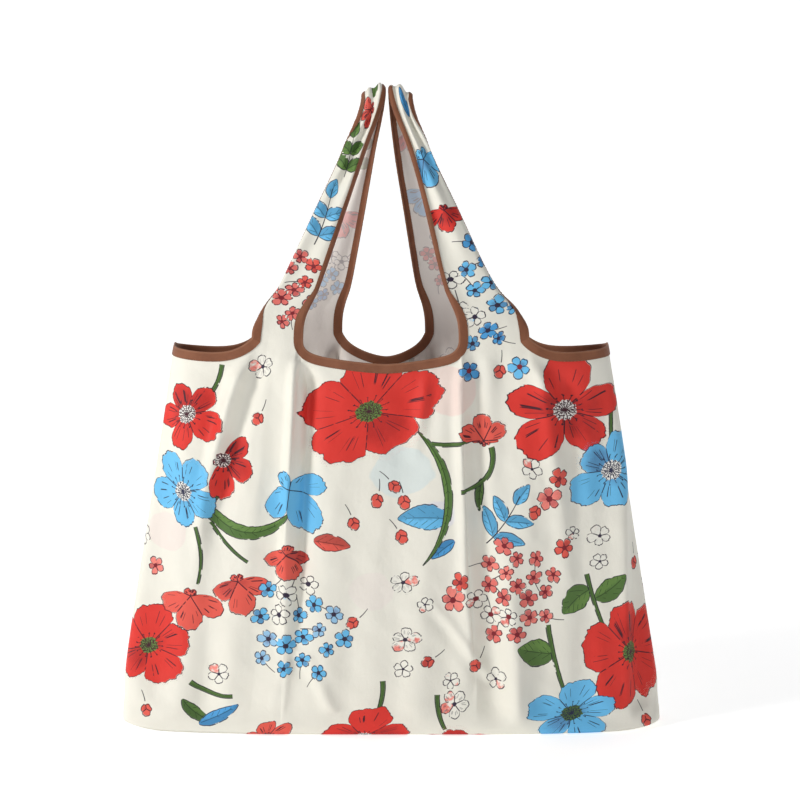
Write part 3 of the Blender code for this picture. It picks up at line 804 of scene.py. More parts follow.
# Leaves: where they start in millimetres, heading in degrees, length and half width in millimetres,
# colour, and bend in radians. The stem layer lies over the leaf layer.
LEAVES = (
    (-192, 246, 285, 118, 7.0, LEAF_GREEN, 2.3),
    (92, 262, 255, 34, 4.0, GREEN, 0.4),
    (204, 148, 205, 38, 12.5, LEAF_GREEN, 0.5),
    (208, 138, 22, 42, 10.5, LEAF_GREEN, 0.5),
    (166, 84, 178, 40, 13.5, LEAF_GREEN, -0.3),
    (-214, 36, 300, 42, 6.0, GREEN, 0.9),
    (60, 222, 172, 54, 12.5, SKY, 0.3),
    (64, 200, 212, 30, 6.0, BLUE, 0.2),
)
MORE_LEAVES = (
    (-17, 640, 80, 30, 6.2, LEAF_GREEN, 0.3),
    (22, 622, 110, 32, 6.6, BLUE, 0.3),
)
STEMS = (
    (-169, 376, 262, 52, 2.2, GREEN, -0.9),
    (-166, 256, 232, 30, 1.8, GREEN, -0.2),
    (-199, 213, 288, 60, 1.8, GREEN, -0.6),
    (-184, 218, 300, 56, 1.8, GREEN, 0.5),
    (172, 392, 262, 36, 2.4, GREEN, 0.2),
    (226, 336, 268, 42, 2.0, GREEN, 0.1),
    (26, 310, -42, 150, 4.2, LEAF_GREEN, -1.6, 0.0),
    (40, 298, -8, 46, 2.2, GREEN, 0.5),
    (100, 294, -70, 62, 2.6, GREEN, -1.9),
    (201, 164, 282, 58, 2.2, GREEN, 0.2),
    (160, 114, 278, 70, 2.4, GREEN, 0.2),
    (-206, 54, 320, 48, 2.4, GREEN, 0.8),
    (-196, 10, 20, 46, 6.8, BLUE, 0.3, 0.0),
    (-9, 58, 275, 40, 2.4, GREEN, -0.6),
    (47, 44, 268, 38, 2.4, GREEN, 0.5),
)
# Buds: u, v and heading. Open blossoms: u, v and size. Filled blossoms: u, v, size and colour.
BUDS = ((-40, 226, 110), (6, 212, 120), (44, 82, 30), (90, 80, 60), (-2, 262, 130), (12, 248, 100), (-12, 250, 80),
        (-254, 30, 100), (262, 18, 100), (150, 236, 60), (-130, 330, 60), (110, 378, 80), (-32, 122, 40),
        (262, 180, 90))
OPEN_BLOSSOMS = ((12, 158, 14), (34, 136, 9), (14, 100, 15), (12, 70, 10), (-128, 374, 14), (64, 34, 15), (60, 58, 9),
                 (-176, 62, 12), (142, 272, 11), (214, 202, 13), (186, 206, 8), (-262, 200, 11), (106, 58, 11),
                 (214, 176, 10))
FILLED_BLOSSOMS = ((170, 262, 10, CORAL), (160, 242, 13, PINK), (176, 192, 10, CORAL), (70, 158, 10, CORAL),
                   (62, 140, 13, PINK), (-246, 170, 9, PINK), (128, 374, 11, SKY), (78, 370, 11, BLUE))

# The print's parts by layer. A part's place in its layer seeds its look.
ART = {layer: [] for layer in LEAF_LAYERS + FLOWER_LAYERS}


def flower(layer, u, v, size, colour, lobes=5, notch=0.35, heart=0.2, heart_colour=DARK, turn=0.0, fan=0.0,
           squat=1.0, hollow=0.0):
    """Adds a flower. hollow ones are left unpainted on most petals."""
    ART[layer].append(dict(
        at=(u, v), size=size, colour=colour, lobes=lobes, notch=notch, heart=heart, heart_colour=heart_colour,
        turn=math.radians(turn), fan=fan, squat=squat, hollow=hollow))


def leaf(layer, u, v, heading, length, width, colour, bend, stem=0.0):
    """Adds a leaf, or a stem of even width where stem is 1."""
    ART[layer].append(dict(at=(u, v), heading=math.radians(heading), length=length, width=width, colour=colour,
                           bend=bend, stem=stem))


def along_arc(part, share):
    """The place and heading at a share of a stem's length."""
    radius = part["length"] / part["bend"]
    start = part["heading"]
    here = start + part["bend"] * share
    u = part["at"][0] + radius * (math.sin(here) - math.sin(start))
    v = part["at"][1] - radius * (math.cos(here) - math.cos(start))
    return u, v, here


def spray(u, v, heading, length, colour, size, width=0.0056):
    """A thin stem with three pairs of broad leaves, the last one single."""
    leaf("stem", u, v, heading, length, 0.0006, INK, 0.4, 1.0)
    main = ART["stem"][-1]
    for k in range(3):
        a, b, here = along_arc(main, (k + 0.5) / 3)
        for side, tilt in ((LEFT, 52), (RIGHT, 52)) if k < 2 else ((LEFT, 0),):
            leaf("leaf", a, b, math.degrees(here) + side * tilt, size * (1 - 0.12 * k), width, colour, 0.3 * side)


def bud(u, v, heading):
    """A round bud on a short dark stalk, with its tip away from the stalk."""
    leaf("stem", u, v, heading, 0.013, 0.0005, INK, 0.3, 1.0)
    turn = math.radians(heading + 180)
    flower("small", u + BUD_SIZE * math.cos(turn), v + BUD_SIZE * math.sin(turn), BUD_SIZE, CORAL, 3, 0.22, 0.0,
           DARK, heading + 180, 0.2, 0.85)


def blossoms(u, v, reach_u, reach_v, count, size, colour, pale, heart_colour):
    """A loose heap of small blossoms, packed like seeds in a flower head."""
    for k in range(count):
        angle = 2.4 * k + 9.0 * u
        away = math.sqrt((k + 0.4) / count)
        a, b = u + reach_u * away * math.cos(angle), v + reach_v * away * math.sin(angle)
        flower("small", a, b, size * (1.0 + 0.16 * math.sin(3.7 * k)), pale if k % 4 == 3 else colour, 5, 0.42, 0.26,
               heart_colour, 77 * k, 0.0, 0.9, 1.0 if k % 5 == 4 else 0.0)
        if k % 2:
            leaf("stem", a, b, math.degrees(angle) * 0.3 + 60, size * 2.1, 0.0005, INK, 0.4, 1.0)


def leaves(layer, rows, stem=0.0):
    for u, v, heading, length, width, colour, bend, *own in rows:
        leaf(layer, u / 1000, v / 1000, heading, length / 1000, width / 1000, colour, bend, *(own or [stem]))


def lay_out_print():
    """The whole print on one cut piece; u runs across from its middle, v up from its bottom crease."""
    for layer, rows in FLOWERS.items():
        for u, v, size, *looks in rows:
            flower(layer, u / 1000, v / 1000, size / 1000, *looks)
    leaves("stem", STEMS, 1.0)
    leaves("leaf", LEAVES)
    spray(0.096, 0.196, 44, 0.060, SKY, 0.033, 0.0066)
    leaves("leaf", [(-78, 200, -4, 38, 8.5, CORAL, -0.2)])
    spray(-0.074, 0.494, 62, 0.058, SKY, 0.026, 0.0068)
    spray(-0.044, 0.560, 74, 0.048, LEAF_GREEN, 0.025, 0.0066)
    leaves("leaf", MORE_LEAVES)
    blossoms(-0.094, 0.108, 0.050, 0.055, 18, 0.0096, SKY, PALE_BLUE, DARK)
    blossoms(0.124, 0.148, 0.044, 0.052, 19, 0.0094, ROSE, PINK, MAROON)
    blossoms(0.088, 0.450, 0.031, 0.062, 16, 0.0088, SKY, BLUE, DARK)
    spray(-0.228, 0.562, 70, 0.056, LEAF_GREEN, 0.024)
    blossoms(-0.262, 0.462, 0.020, 0.036, 10, 0.0078, SKY, BLUE, DARK)
    blossoms(-0.134, 0.480, 0.016, 0.030, 8, 0.0072, ROSE, CORAL, MAROON)
    blossoms(-0.096, 0.456, 0.023, 0.044, 12, 0.0080, ROSE, CORAL, MAROON)
    for u, v, heading in BUDS:
        bud(u / 1000, v / 1000, heading)
    for u, v, size in OPEN_BLOSSOMS:
        flower("small", u / 1000, v / 1000, size / 1000, PINK, 5, 0.40, 0.16, DARK, 0.9 * u, 0.0, 0.85, 1.0)
    for u, v, size, colour in FILLED_BLOSSOMS:
        flower("small", u / 1000, v / 1000, size / 1000, colour, 5, 0.42, 0.24, MAROON, 0.7 * v)


def shifted(layer, step):
    """A layer's parts moved round the cut piece, so that the back shows another stretch of the cloth."""
    moved = []
    full = 2 * HALF_CUT
    for part in ART[layer]:
        u = (part["at"][0] + step + HALF_CUT) % full - HALF_CUT
        for shift in (-full, 0.0, full):
            if abs(u + shift) < HALF_CUT + LARGEST_REACH:
                moved.append({**part, "at": (u + shift, part["at"][1])})
    return moved


def set_corners(mesh, name, values, kind="FLOAT_VECTOR"):
    layer = mesh.attributes.new(name, kind, "CORNER")
    key = "color" if kind == "FLOAT_COLOR" else "vector"
    layer.data.foreach_set(key, np.ascontiguousarray(values, dtype=np.float32).ravel())


def per_corner(rows, index):
    """Each face's part's row, once for each of the face's four corners."""
    return np.repeat(np.array(rows, float)[index][:, None, :], 4, axis=1)


def set_looks(mesh, name, parts, index, *keys, shown=None):
    """Stores three looks of each face's part. Where it isn't shown, the first one is 0."""
    values = per_corner([[part[key] for key in keys] for part in parts], index)
    if shown is not None:
        values[~shown, :, 0] = 0.0
    set_corners(mesh, name, values)


def set_colours(mesh, name, parts, index, key):
    set_corners(mesh, name, per_corner([(*part[key], 1.0) for part in parts], index), "FLOAT_COLOR")


def nearest_part(distances):
    """For each face, the part it lies in or nearest to, and whether it is near at all."""
    index = distances.argmin(1)
    return index, distances[np.arange(len(index)), index] < NEAR_PART


def lay_flowers(mesh, layer, parts, corners, centres):
    """Stores, for each face corner, where it lies in its flower, and that flower's looks."""
    at, size, turn, squat = (np.array([part[key] for part in parts]) for key in ("at", "size", "turn", "squat"))
    index, near = nearest_part(np.linalg.norm(centres[:, None, :] - at[None], axis=2) - size[None] * 1.08)
    turn = turn[index][:, None]
    rel = corners - at[index][:, None, :]
    x = rel[..., 0] * np.cos(turn) + rel[..., 1] * np.sin(turn)
    y = (-rel[..., 0] * np.sin(turn) + rel[..., 1] * np.cos(turn)) / squat[index][:, None]
    set_corners(mesh, layer + "_at", np.stack([x, y, np.broadcast_to(index[:, None], x.shape)], -1))
    set_looks(mesh, layer + "_shape", parts, index, "size", "lobes", "notch", shown=near)
    set_looks(mesh, layer + "_style", parts, index, "heart", "hollow", "fan")
    set_colours(mesh, layer + "_colour", parts, index, "colour")
    set_colours(mesh, layer + "_heart", parts, index, "heart_colour")


def arc_place(points, part):
    """Distance along and off a bent stem's middle line."""
    heading, bend = part["heading"], part["bend"]
    radius = part["length"] / bend
    hand = math.copysign(1.0, radius)
    centre = np.array(part["at"]) + radius * np.array([-math.sin(heading), math.cos(heading)])
    rel = (points - centre) * hand
    angle = np.arctan2(rel[..., 1], rel[..., 0]) - (heading - math.pi / 2)
    angle = (angle + math.pi) % (2 * math.pi) - math.pi
    return abs(radius) * angle * hand, (abs(radius) - np.linalg.norm(rel, axis=-1))


def lay_leaves(mesh, layer, parts, corners, centres):
    """Stores, for each face corner, where it lies along and off its leaf, and that leaf's looks."""
    distances = []
    for part in parts:
        along, off = arc_place(centres, part)
        beyond = np.maximum(np.maximum(-along, along - part["length"]), 0.0)
        distances.append(np.hypot(beyond, np.maximum(np.abs(off) - part["width"], 0.0)) + 0.1 * np.abs(off))
    index, near = nearest_part(np.stack(distances, 1))
    place = np.zeros((*corners.shape[:2], 3))
    for k, part in enumerate(parts):
        mine = index == k
        if mine.any():
            along, off = arc_place(corners[mine], part)
            place[mine] = np.stack([along, off, np.full_like(along, k * 0.37 % 1.0)], -1)
    set_corners(mesh, layer + "_at", place)
    set_looks(mesh, layer + "_shape", parts, index, "length", "width", "stem", shown=near)
    set_colours(mesh, layer + "_colour", parts, index, "colour")


def lay_print(piece, places, step):
    """Stores the print's layers on a shell whose grid has these places in the cut piece."""
    mesh = piece.data
    places = np.tile(places.reshape(-1, 2), (2, 1))
    loops = np.zeros(len(mesh.loops), np.int32)
    mesh.loops.foreach_get("vertex_index", loops)
    corners = places[loops].reshape(-1, 4, 2)
    centres = corners.mean(1)
    set_corners(mesh, "cut_place", np.concatenate([corners, np.zeros((*corners.shape[:2], 1))], -1))
    for layer in LEAF_LAYERS:
        lay_leaves(mesh, layer, shifted(layer, step), corners, centres)
    for layer in FLOWER_LAYERS:
        lay_flowers(mesh, layer, shifted(layer, step), corners, centres)


# Mesh builders

def mesh_piece(name, verts, faces, *materials):
    """A smooth mesh object in the scene."""
    mesh = bpy.data.meshes.new(name)
    mesh.from_pydata(verts, [], faces)
    for material in materials:
        mesh.materials.append(material)
    mesh.shade_smooth()
    piece = bpy.data.objects.new(name, mesh)
    bpy.context.scene.collection.objects.link(piece)
    return piece


def grid_quads(index):
    """The quads of a grid whose points have these numbers."""
    return np.stack([index[:-1, :-1], index[:-1, 1:], index[1:, 1:], index[1:, :-1]], -1).reshape(-1, 4)


def run_of(points):
    """Distance along a line of points, at each of them."""
    return np.concatenate([[0.0], np.cumsum(np.linalg.norm(np.diff(points, axis=0), axis=1))])


def read_run(spots, run, values):
    """A line's values, read at other distances along it."""
    return np.stack([np.interp(spots, run, values[:, d]) for d in range(3)], -1)


def shell(name, points, normals, thickness, *materials):
    """A thin closed sheet on a grid. Its outer side takes the first material, the rest the second."""
    index = np.arange(points[..., 0].size).reshape(points.shape[:2])
    count = index.size
    outer = (points + normals * thickness / 2).reshape(-1, 3)
    inner = (points - normals * thickness / 2).reshape(-1, 3)
    flat_normals = normals.reshape(-1, 3)
    quads = grid_quads(index)
    a, b, d = (outer[quads[:, k]] for k in (0, 1, 3))
    facing = (np.cross(b - a, d - a) * flat_normals[quads[:, 0]]).sum()
    if facing < 0:
        quads = quads[:, ::-1]
    rim = []
    for line in (index[0, :], index[:, -1], index[-1, ::-1], index[::-1, 0]):
        for i, j in zip(line, line[1:]):
            quad = (j, i, i + count, j + count)
            rim.append(quad if facing > 0 else quad[::-1])
    faces = np.concatenate([quads, quads[:, ::-1] + count, np.array(rim)])
    piece = mesh_piece(name, np.concatenate([outer, inner]).tolist(), faces.tolist(), *materials)
    slots = np.ones(len(faces), np.int32)
    slots[:len(quads)] = 0
    piece.data.polygons.foreach_set("material_index", slots)
    piece.data.update()
    piece.data.normals_split_custom_set_from_vertices(np.concatenate([flat_normals, -flat_normals]).tolist())
    return piece


def sweep(name, points, normals, inward, profile, material, ripple_size=0.0, walked=None):
    """A closed bar that follows an edge. profile holds (off the cloth, into the cloth) pairs.

    walked holds the cloth's places and normals at even steps into it, for a bar that lies on the cloth.
    """
    rings, runs = [], []
    for k, (p, n, i, s) in enumerate(zip(points, normals, inward, run_of(points))):
        wave = ripple_size * math.sin(s * 2 * math.pi / 0.0075) + ripple_size * math.sin(s * 2 * math.pi / 0.0193)
        ring = []
        for a, b in profile:
            off = a + math.copysign(wave, a) * min(1.0, max(0.0, b / 0.004))
            if walked is not None and b > 0.0005:
                step = round(b / TAPE_WIDTH * TAPE_STEPS)
                ring.append(walked[0][k, step] + walked[1][k, step] * off)
            else:
                ring.append(p + n * off + i * b)
        rings.append(ring)
        runs.append([(s, b, 0.0) for a, b in profile])
    rings = np.array(rings)
    count, sides = rings.shape[:2]
    index = np.arange(count * sides).reshape(count, sides)
    around = grid_quads(np.concatenate([index, index[:, :1]], 1))
    caps = []
    for ring, order in ((index[0], -1), (index[-1], 1)):
        for k in range(sides // 2 - 1):
            caps.append((ring[k], ring[k + 1], ring[sides - 2 - k], ring[sides - 1 - k])[::order])
    faces = np.concatenate([around, np.array(caps)])
    piece = mesh_piece(name, rings.reshape(-1, 3).tolist(), faces.tolist(), material)
    bm = bmesh.new()
    bm.from_mesh(piece.data)
    bmesh.ops.recalc_face_normals(bm, faces=bm.faces)
    bm.to_mesh(piece.data)
    bm.free()
    place = piece.data.attributes.new("tape_place", "FLOAT_VECTOR", "POINT")
    place.data.foreach_set("vector", np.array(runs, np.float32).ravel())
    piece.data.set_sharp_from_angle(angle=math.radians(50))
    return piece


STITCH = 0.0026
STITCH_PITCH = 0.0036
STITCH_SIDES = 6
# A stitch's rings: share of its length from its middle, share of its radius, and lift in radii
STITCH_RINGS = ((-0.5, 0.35, -0.6), (-0.32, 0.9, 0.35), (0.0, 1.0, 0.6), (0.32, 0.9, 0.35), (0.5, 0.35, -0.6))


def stitches(name, lines, material, radius=0.0002):
    """Sewn thread: short capsules along each line of points, sunk a little at their ends."""
    verts, faces = [], []
    spots, fats, lifts = zip(*STITCH_RINGS)
    last = (len(STITCH_RINGS) - 1) * STITCH_SIDES
    for points, normals in lines:
        run = run_of(points)
        for k in range(int(run[-1] / STITCH_PITCH)):
            middle = (k + 0.5) * STITCH_PITCH
            centre = read_run(middle + STITCH * np.array(spots), run, points)
            normal = unit(read_run(middle, run, normals))
            along = unit(centre[-1] - centre[0])
            across = np.cross(normal, along)
            start = len(verts)
            for c, fat, lift in zip(centre, fats, lifts):
                for j in range(STITCH_SIDES):
                    turn = 2 * math.pi * j / STITCH_SIDES
                    out = across * math.cos(turn) + normal * math.sin(turn)
                    verts.append(c + normal * lift * radius + out * radius * fat)
            for ring in range(start, start + last, STITCH_SIDES):
                for j in range(STITCH_SIDES):
                    a, b = ring + j, ring + (j + 1) % STITCH_SIDES
                    faces.append((a, b, b + STITCH_SIDES, a + STITCH_SIDES))
            faces.append(tuple(range(start + STITCH_SIDES - 1, start - 1, -1)))
            faces.append(tuple(range(start + last, start + last + STITCH_SIDES)))
    return mesh_piece(name, verts, faces, material)


# Making the pieces

def place(piece, where, slot, *nodes):
    """Gives a piece its body: where is a body, or a side, for which the piece's transform is only baked into its
    mesh. slot is not used."""
    if where in SIDE_WORD:
        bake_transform(piece)
    else:
        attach(piece, where)
    if nodes:
        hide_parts(*nodes)


def cloth_grids(grid):
    """Grids of both bodies and all four straps: {face: (points, places, marks, columns, {side: ...})}."""
    made = {}
    for face in (FRONT, BACK):
        points, places, marks, columns = body_grid(face, grid)
        straps = {}
        for side, (a, b) in ((LEFT, (marks[1], marks[0])), (RIGHT, (marks[2], marks[3]))):
            order = np.arange(a, b + 1) if a < b else np.arange(a, b - 1, -1)
            strap, strap_places = strap_grid(face, side, points[-1, order], places[-1, order], grid)
            strap_places[0] = places[-1, order]
            straps[side] = (strap, strap_places, order)
        made[face] = (points, places, marks, columns, straps)
    return made


def soften(values):
    """Takes the smallest wiggles out of a grid, and leaves its border rows and columns in place."""
    out = values.copy()
    out[1:-1] = (values[:-2] + 2 * values[1:-1] + values[2:]) / 4
    inner = out.copy()
    out[:, 1:-1] = (inner[:, :-2] + 2 * inner[:, 1:-1] + inner[:, 2:]) / 4
    return out


SPARE_WIDTH = 1.055          # the hanging cloth has this much spare width, which falls into folds
SPARE_HEIGHT = 0.998
SETTLE_FRAMES = 30
MOST_SETTLING = 0.013


def settle():
    """Lets a coarse copy of the cloth hang: how far each coarse point moves, by face and side."""
    grids = cloth_grids(COARSE)
    verts, faces, pins = [], [], []
    numbers = {}

    def add_grid(points, weights, known):
        rows, columns = points.shape[:2]
        index = np.zeros((rows, columns), int)
        for r in range(rows):
            for c in range(columns):
                if (r, c) in known:
                    index[r, c] = known[r, c]
                else:
                    index[r, c] = len(verts)
                    verts.append(points[r, c])
                    pins.append(weights[r, c])
        faces.extend(grid_quads(index).tolist())
        return index

    steps = COARSE.body_steps()
    for face in (FRONT, BACK):
        points, _, _, columns, straps = grids[face]
        rows = len(points)
        weights = np.full(points.shape[:2], 0.006)
        weights[steps < 1.0] = 1.0
        weights[(steps >= 1.0) & (steps < 1.02)] = 0.9
        weights = np.maximum(weights, (0.55 * smooth(steps, 1.84, 2.0))[:, None])
        side_seam = smooth(np.abs(columns) / HALF_CUT, 0.93, 1.0)
        weights = np.maximum(weights, 0.65 * side_seam[None])
        known = {}
        if face == BACK:
            for r in range(rows):
                known[r, 0], known[r, len(columns) - 1] = numbers[FRONT][r, 0], numbers[FRONT][r, -1]
        numbers[face] = add_grid(points, weights, known)
        for side, (strap, _, order) in straps.items():
            t = COARSE.strap_steps()
            pull = np.clip(0.02 + 1.2 * np.clip(t, 0, 1) ** 2.2 + 0.50 * (1 - smooth(t, 0.0, 0.14)), 0.0, 1.0)
            pull = np.repeat(pull[:, None], strap.shape[1], axis=1)
            known = {(0, k): numbers[face][rows - 1, c] for k, c in enumerate(order)}
            numbers[face, side] = add_grid(strap, pull, known)

    obj = mesh_piece("settling", [tuple(v) for v in verts], faces)
    group = obj.vertex_groups.new(name="held")
    for k, weight in enumerate(pins):
        group.add([k], float(weight), "REPLACE")
    obj.shape_key_add(name="Basis")
    rest = obj.shape_key_add(name="spare")
    for k, v in enumerate(verts):
        rest.data[k].co = (v[0] * SPARE_WIDTH, v[1] * SPARE_WIDTH, v[2] * SPARE_HEIGHT)
    cloth = obj.modifiers.new("cloth", "CLOTH")
    settings = cloth.settings
    settings.quality = 7
    settings.mass = 0.12
    settings.tension_stiffness = settings.compression_stiffness = 14.0
    settings.shear_stiffness = 4.0
    settings.bending_stiffness = 0.10
    settings.tension_damping = settings.compression_damping = settings.shear_damping = 6.0
    settings.air_damping = 2.5
    settings.vertex_group_mass = "held"
    settings.pin_stiffness = 1.0
    settings.rest_shape_key = rest
    cloth.collision_settings.use_collision = False
    cloth.collision_settings.use_self_collision = False
    scene = bpy.context.scene
    for frame_number in range(1, SETTLE_FRAMES + 1):
        scene.frame_set(frame_number)
    settled = obj.evaluated_get(bpy.context.evaluated_depsgraph_get()).data
    moved = np.zeros(len(verts) * 3)
    settled.vertices.foreach_get("co", moved)
    moved = moved.reshape(-1, 3) - np.array(verts)
    bpy.data.objects.remove(obj, do_unlink=True)
    scene.frame_set(1)
    length = np.linalg.norm(moved, axis=1, keepdims=True)
    moved *= MOST_SETTLING * np.tanh(length / MOST_SETTLING) / np.maximum(length, 1e-9)
    return {key: soften(moved[index]) for key, index in numbers.items()}, grids


def resample(values, index, axis):
    """Smooth curve through a grid's rows or columns, read at these fractional positions."""
    values = np.moveaxis(values, axis, 0)
    count = len(values)
    low = np.clip(np.floor(index).astype(int), 0, count - 2)
    f = (index - low).reshape(-1, *([1] * (values.ndim - 1)))
    read = spline(*(values[np.clip(low + d, 0, count - 1)] for d in (-1, 0, 1, 2)), f)
    return np.moveaxis(read, 0, axis)


def apply_settling(fine, moved, coarse):
    """Moves the fine grids as the coarse cloth moved."""
    body_rows = np.interp(FINE.body_steps(), COARSE.body_steps(), np.arange(len(COARSE.body_steps())))
    strap_rows = np.interp(FINE.strap_steps(), COARSE.strap_steps(), np.arange(len(COARSE.strap_steps())))
    for face in (FRONT, BACK):
        points, _, _, columns, straps = fine[face]
        coarse_columns = coarse[face][3]
        across = np.interp(columns, coarse_columns, np.arange(len(coarse_columns)))
        points += resample(resample(moved[face], body_rows, 0), across, 1)
        points[..., 2] = np.maximum(points[..., 2], CLOTH)
        for side, (strap, _, order) in straps.items():
            share = np.linspace(0.0, COARSE.strap_cells, FINE.strap_cells + 1)
            strap += resample(resample(moved[face, side], strap_rows, 0), share, 1)
            strap[0] = points[-1, order]


def printed_sheet(name, points, normals, places, step, thickness, materials, where, node_name):
    """A sheet of printed cloth that stands for a CAD node."""
    piece = shell(name, points, normals, thickness, *materials)
    lay_print(piece, places, step)
    place(piece, where, "printed_polyester", node_name)
    return piece


def make_cloth():
    """All six cloth pieces. Returns {face: (points, normals, marks, {side: (points, normals)})}."""
    materials = printed_cloth("printed_outside", False), printed_cloth("printed_inside", True)
    fine = cloth_grids(FINE)
    apply_settling(fine, *settle())
    normals = {}
    for face in (FRONT, BACK):
        normals[face] = grid_normals(fine[face][0], face)
        for side, (strap, _, order) in fine[face][4].items():
            normals[face, side] = grid_normals(strap, face)
            shared = unit(normals[face, side][0] + normals[face][-1, order])
            normals[face, side][0] = normals[face][-1, order] = shared
    for side in (LEFT, RIGHT):
        crest = unit(normals[FRONT, side][-1] + normals[BACK, side][-1] + 1e-9)
        normals[FRONT, side][-1] = normals[BACK, side][-1] = crest
    grids = {}
    for face in (FRONT, BACK):
        points, places, marks, _, straps = fine[face]
        step = 0.0 if face == FRONT else BACK_PRINT_STEP
        word = FACE_WORD[face]
        body = printed_sheet(f"{word}_cloth", points, normals[face], places, step, CLOTH, materials, "bag",
                             f"{word}_panel")
        for side, (strap, strap_places, _) in straps.items():
            strap_word = f"{SIDE_WORD[side]}_{word}_strap"
            piece = printed_sheet(f"{strap_word}_cloth", strap, normals[face, side], strap_places, step, CLOTH,
                                  materials, side, strap_word)
        grids[face] = (points, normals[face], marks,
                       {side: (strap[0], normals[face, side]) for side, strap in straps.items()})
    return grids


class Surface:
    """The cloth's middle surface, for laying tapes on it."""

    def __init__(self, grids):
        verts, normals, quads = [], [], []
        count = 0
        for points, point_normals, _, straps in grids.values():
            for p, n in [(points, point_normals), *straps.values()]:
                verts.append(p.reshape(-1, 3))
                normals.append(n.reshape(-1, 3))
                quads.append(grid_quads(np.arange(len(verts[-1])).reshape(p.shape[:2]) + count))
                count += len(verts[-1])
        self.verts, self.normals, self.quads = (np.concatenate(v) for v in (verts, normals, quads))
        self.tree = BVHTree.FromPolygons(self.verts.tolist(), self.quads.tolist())

    def nearest(self, spot):
        """The nearest place on the cloth, and the smooth normal there."""
        place, _, face, _ = self.tree.find_nearest(Vector(spot))
        corners = self.quads[face]
        place = np.array(place)
        weight = 1.0 / (np.linalg.norm(self.verts[corners] - place, axis=1) + 1e-5)
        return place, unit((self.normals[corners] * weight[:, None]).sum(0))

    def walk_in(self, points, normals, inward, steps, step_length):
        """Walks over the cloth from each edge point: places and normals at every step, edge first."""
        places, sides = [], []
        for p, n, heading in zip(points, normals, inward):
            row, row_normals = [p], [n]
            for _ in range(steps):
                p, found = self.nearest(p + heading * step_length)
                n = found if np.dot(found, n) > 0 else -found
                heading = unit(heading - n * np.dot(heading, n))
                row.append(p)
                row_normals.append(n)
            places.append(row)
            sides.append(row_normals)
        return np.array(places), np.array(sides)


TAPE_STEPS = 6               # places across the tape where it follows the cloth
TAPE_SLOT = CLOTH / 2 + 0.00014
TAPE_SPACING = 0.0016        # between the places along a tape


def tape_profile():
    """A flat U round the cloth's edge, as a closed outline of (off the cloth, into the cloth) pairs."""
    wall = TAPE_SLOT + TAPE_WALL
    into = [TAPE_WIDTH * k / TAPE_STEPS for k in range(TAPE_STEPS, 0, -1)]
    outer = [(wall * (0.92 if b == TAPE_WIDTH else 1.03), b) for b in into]
    outer += [(wall * 0.85, -0.0002), (wall * 0.35, -0.0007)]
    outer += [(-a, b) for a, b in reversed(outer)]
    inner = [(-TAPE_SLOT, b) for b in into] + [(-TAPE_SLOT, 0.0001), (-TAPE_SLOT * 0.4, 0.0001)]
    inner += [(-a, b) for a, b in reversed(inner)]
    return outer + inner


def even_steps(points, normals):
    """The same run of edge points, divided evenly along its length; its ends stay in place."""
    run = run_of(points)
    spots = np.linspace(0.0, run[-1], max(2, round(run[-1] / TAPE_SPACING)) + 1)
    return read_run(spots, run, points), unit(read_run(spots, run, normals))


def edge_frames(points, normals):
    """Unit directions into the cloth along a closed edge, square to the edge and to the normals."""
    along = unit(np.roll(points, -1, axis=0) - np.roll(points, 1, axis=0))
    for _ in range(4):
        along = unit(np.roll(along, 1, axis=0) + 2 * along + np.roll(along, -1, axis=0))
        normals = unit(np.roll(normals, 1, axis=0) + 2 * normals + np.roll(normals, -1, axis=0))
    normals = unit(normals - along * (normals * along).sum(1, keepdims=True))
    return normals, unit(np.cross(normals, along))


def closed_edge(parts):
    """Joins runs of edge points into one loop with frames. Each run starts where the last one ends.

    The loop's first run is the top edge of hanging cloth, so the cloth lies below it.
    """
    parts = [even_steps(p, n) for p, n in parts]
    points = np.concatenate([p[:-1] for p, _ in parts])
    normals = np.concatenate([n[:-1] for _, n in parts])
    normals, inward = edge_frames(points, normals)
    if inward[len(parts[0][0]) // 2][2] > 0:
        inward = -inward
    slices = []
    start = 0
    for p, _ in parts:
        take = np.arange(start, start + len(p)) % len(points)
        slices.append((points[take], normals[take], inward[take]))
        start += len(p) - 1
    return slices


# Runs of edge points, as (points, normals)

def top_run(grids, face, first, last):
    """A panel's top edge, from one column up to another."""
    return tuple(values[-1, first:last] for values in grids[face][:2])


def flipped(run):
    return tuple(values[::-1] for values in run)


def joined(run, following):
    """Two runs as one. The second starts where the first ends."""
    return tuple(np.concatenate([a, b[1:]]) for a, b in zip(run, following))


def handle_run(grids, side, column):
    """A handle's edge over the shoulder seam: up the front strap and down the back."""
    front, back = (tuple(values[:, column] for values in grids[face][3][side]) for face in (FRONT, BACK))
    return joined(front, flipped(back))


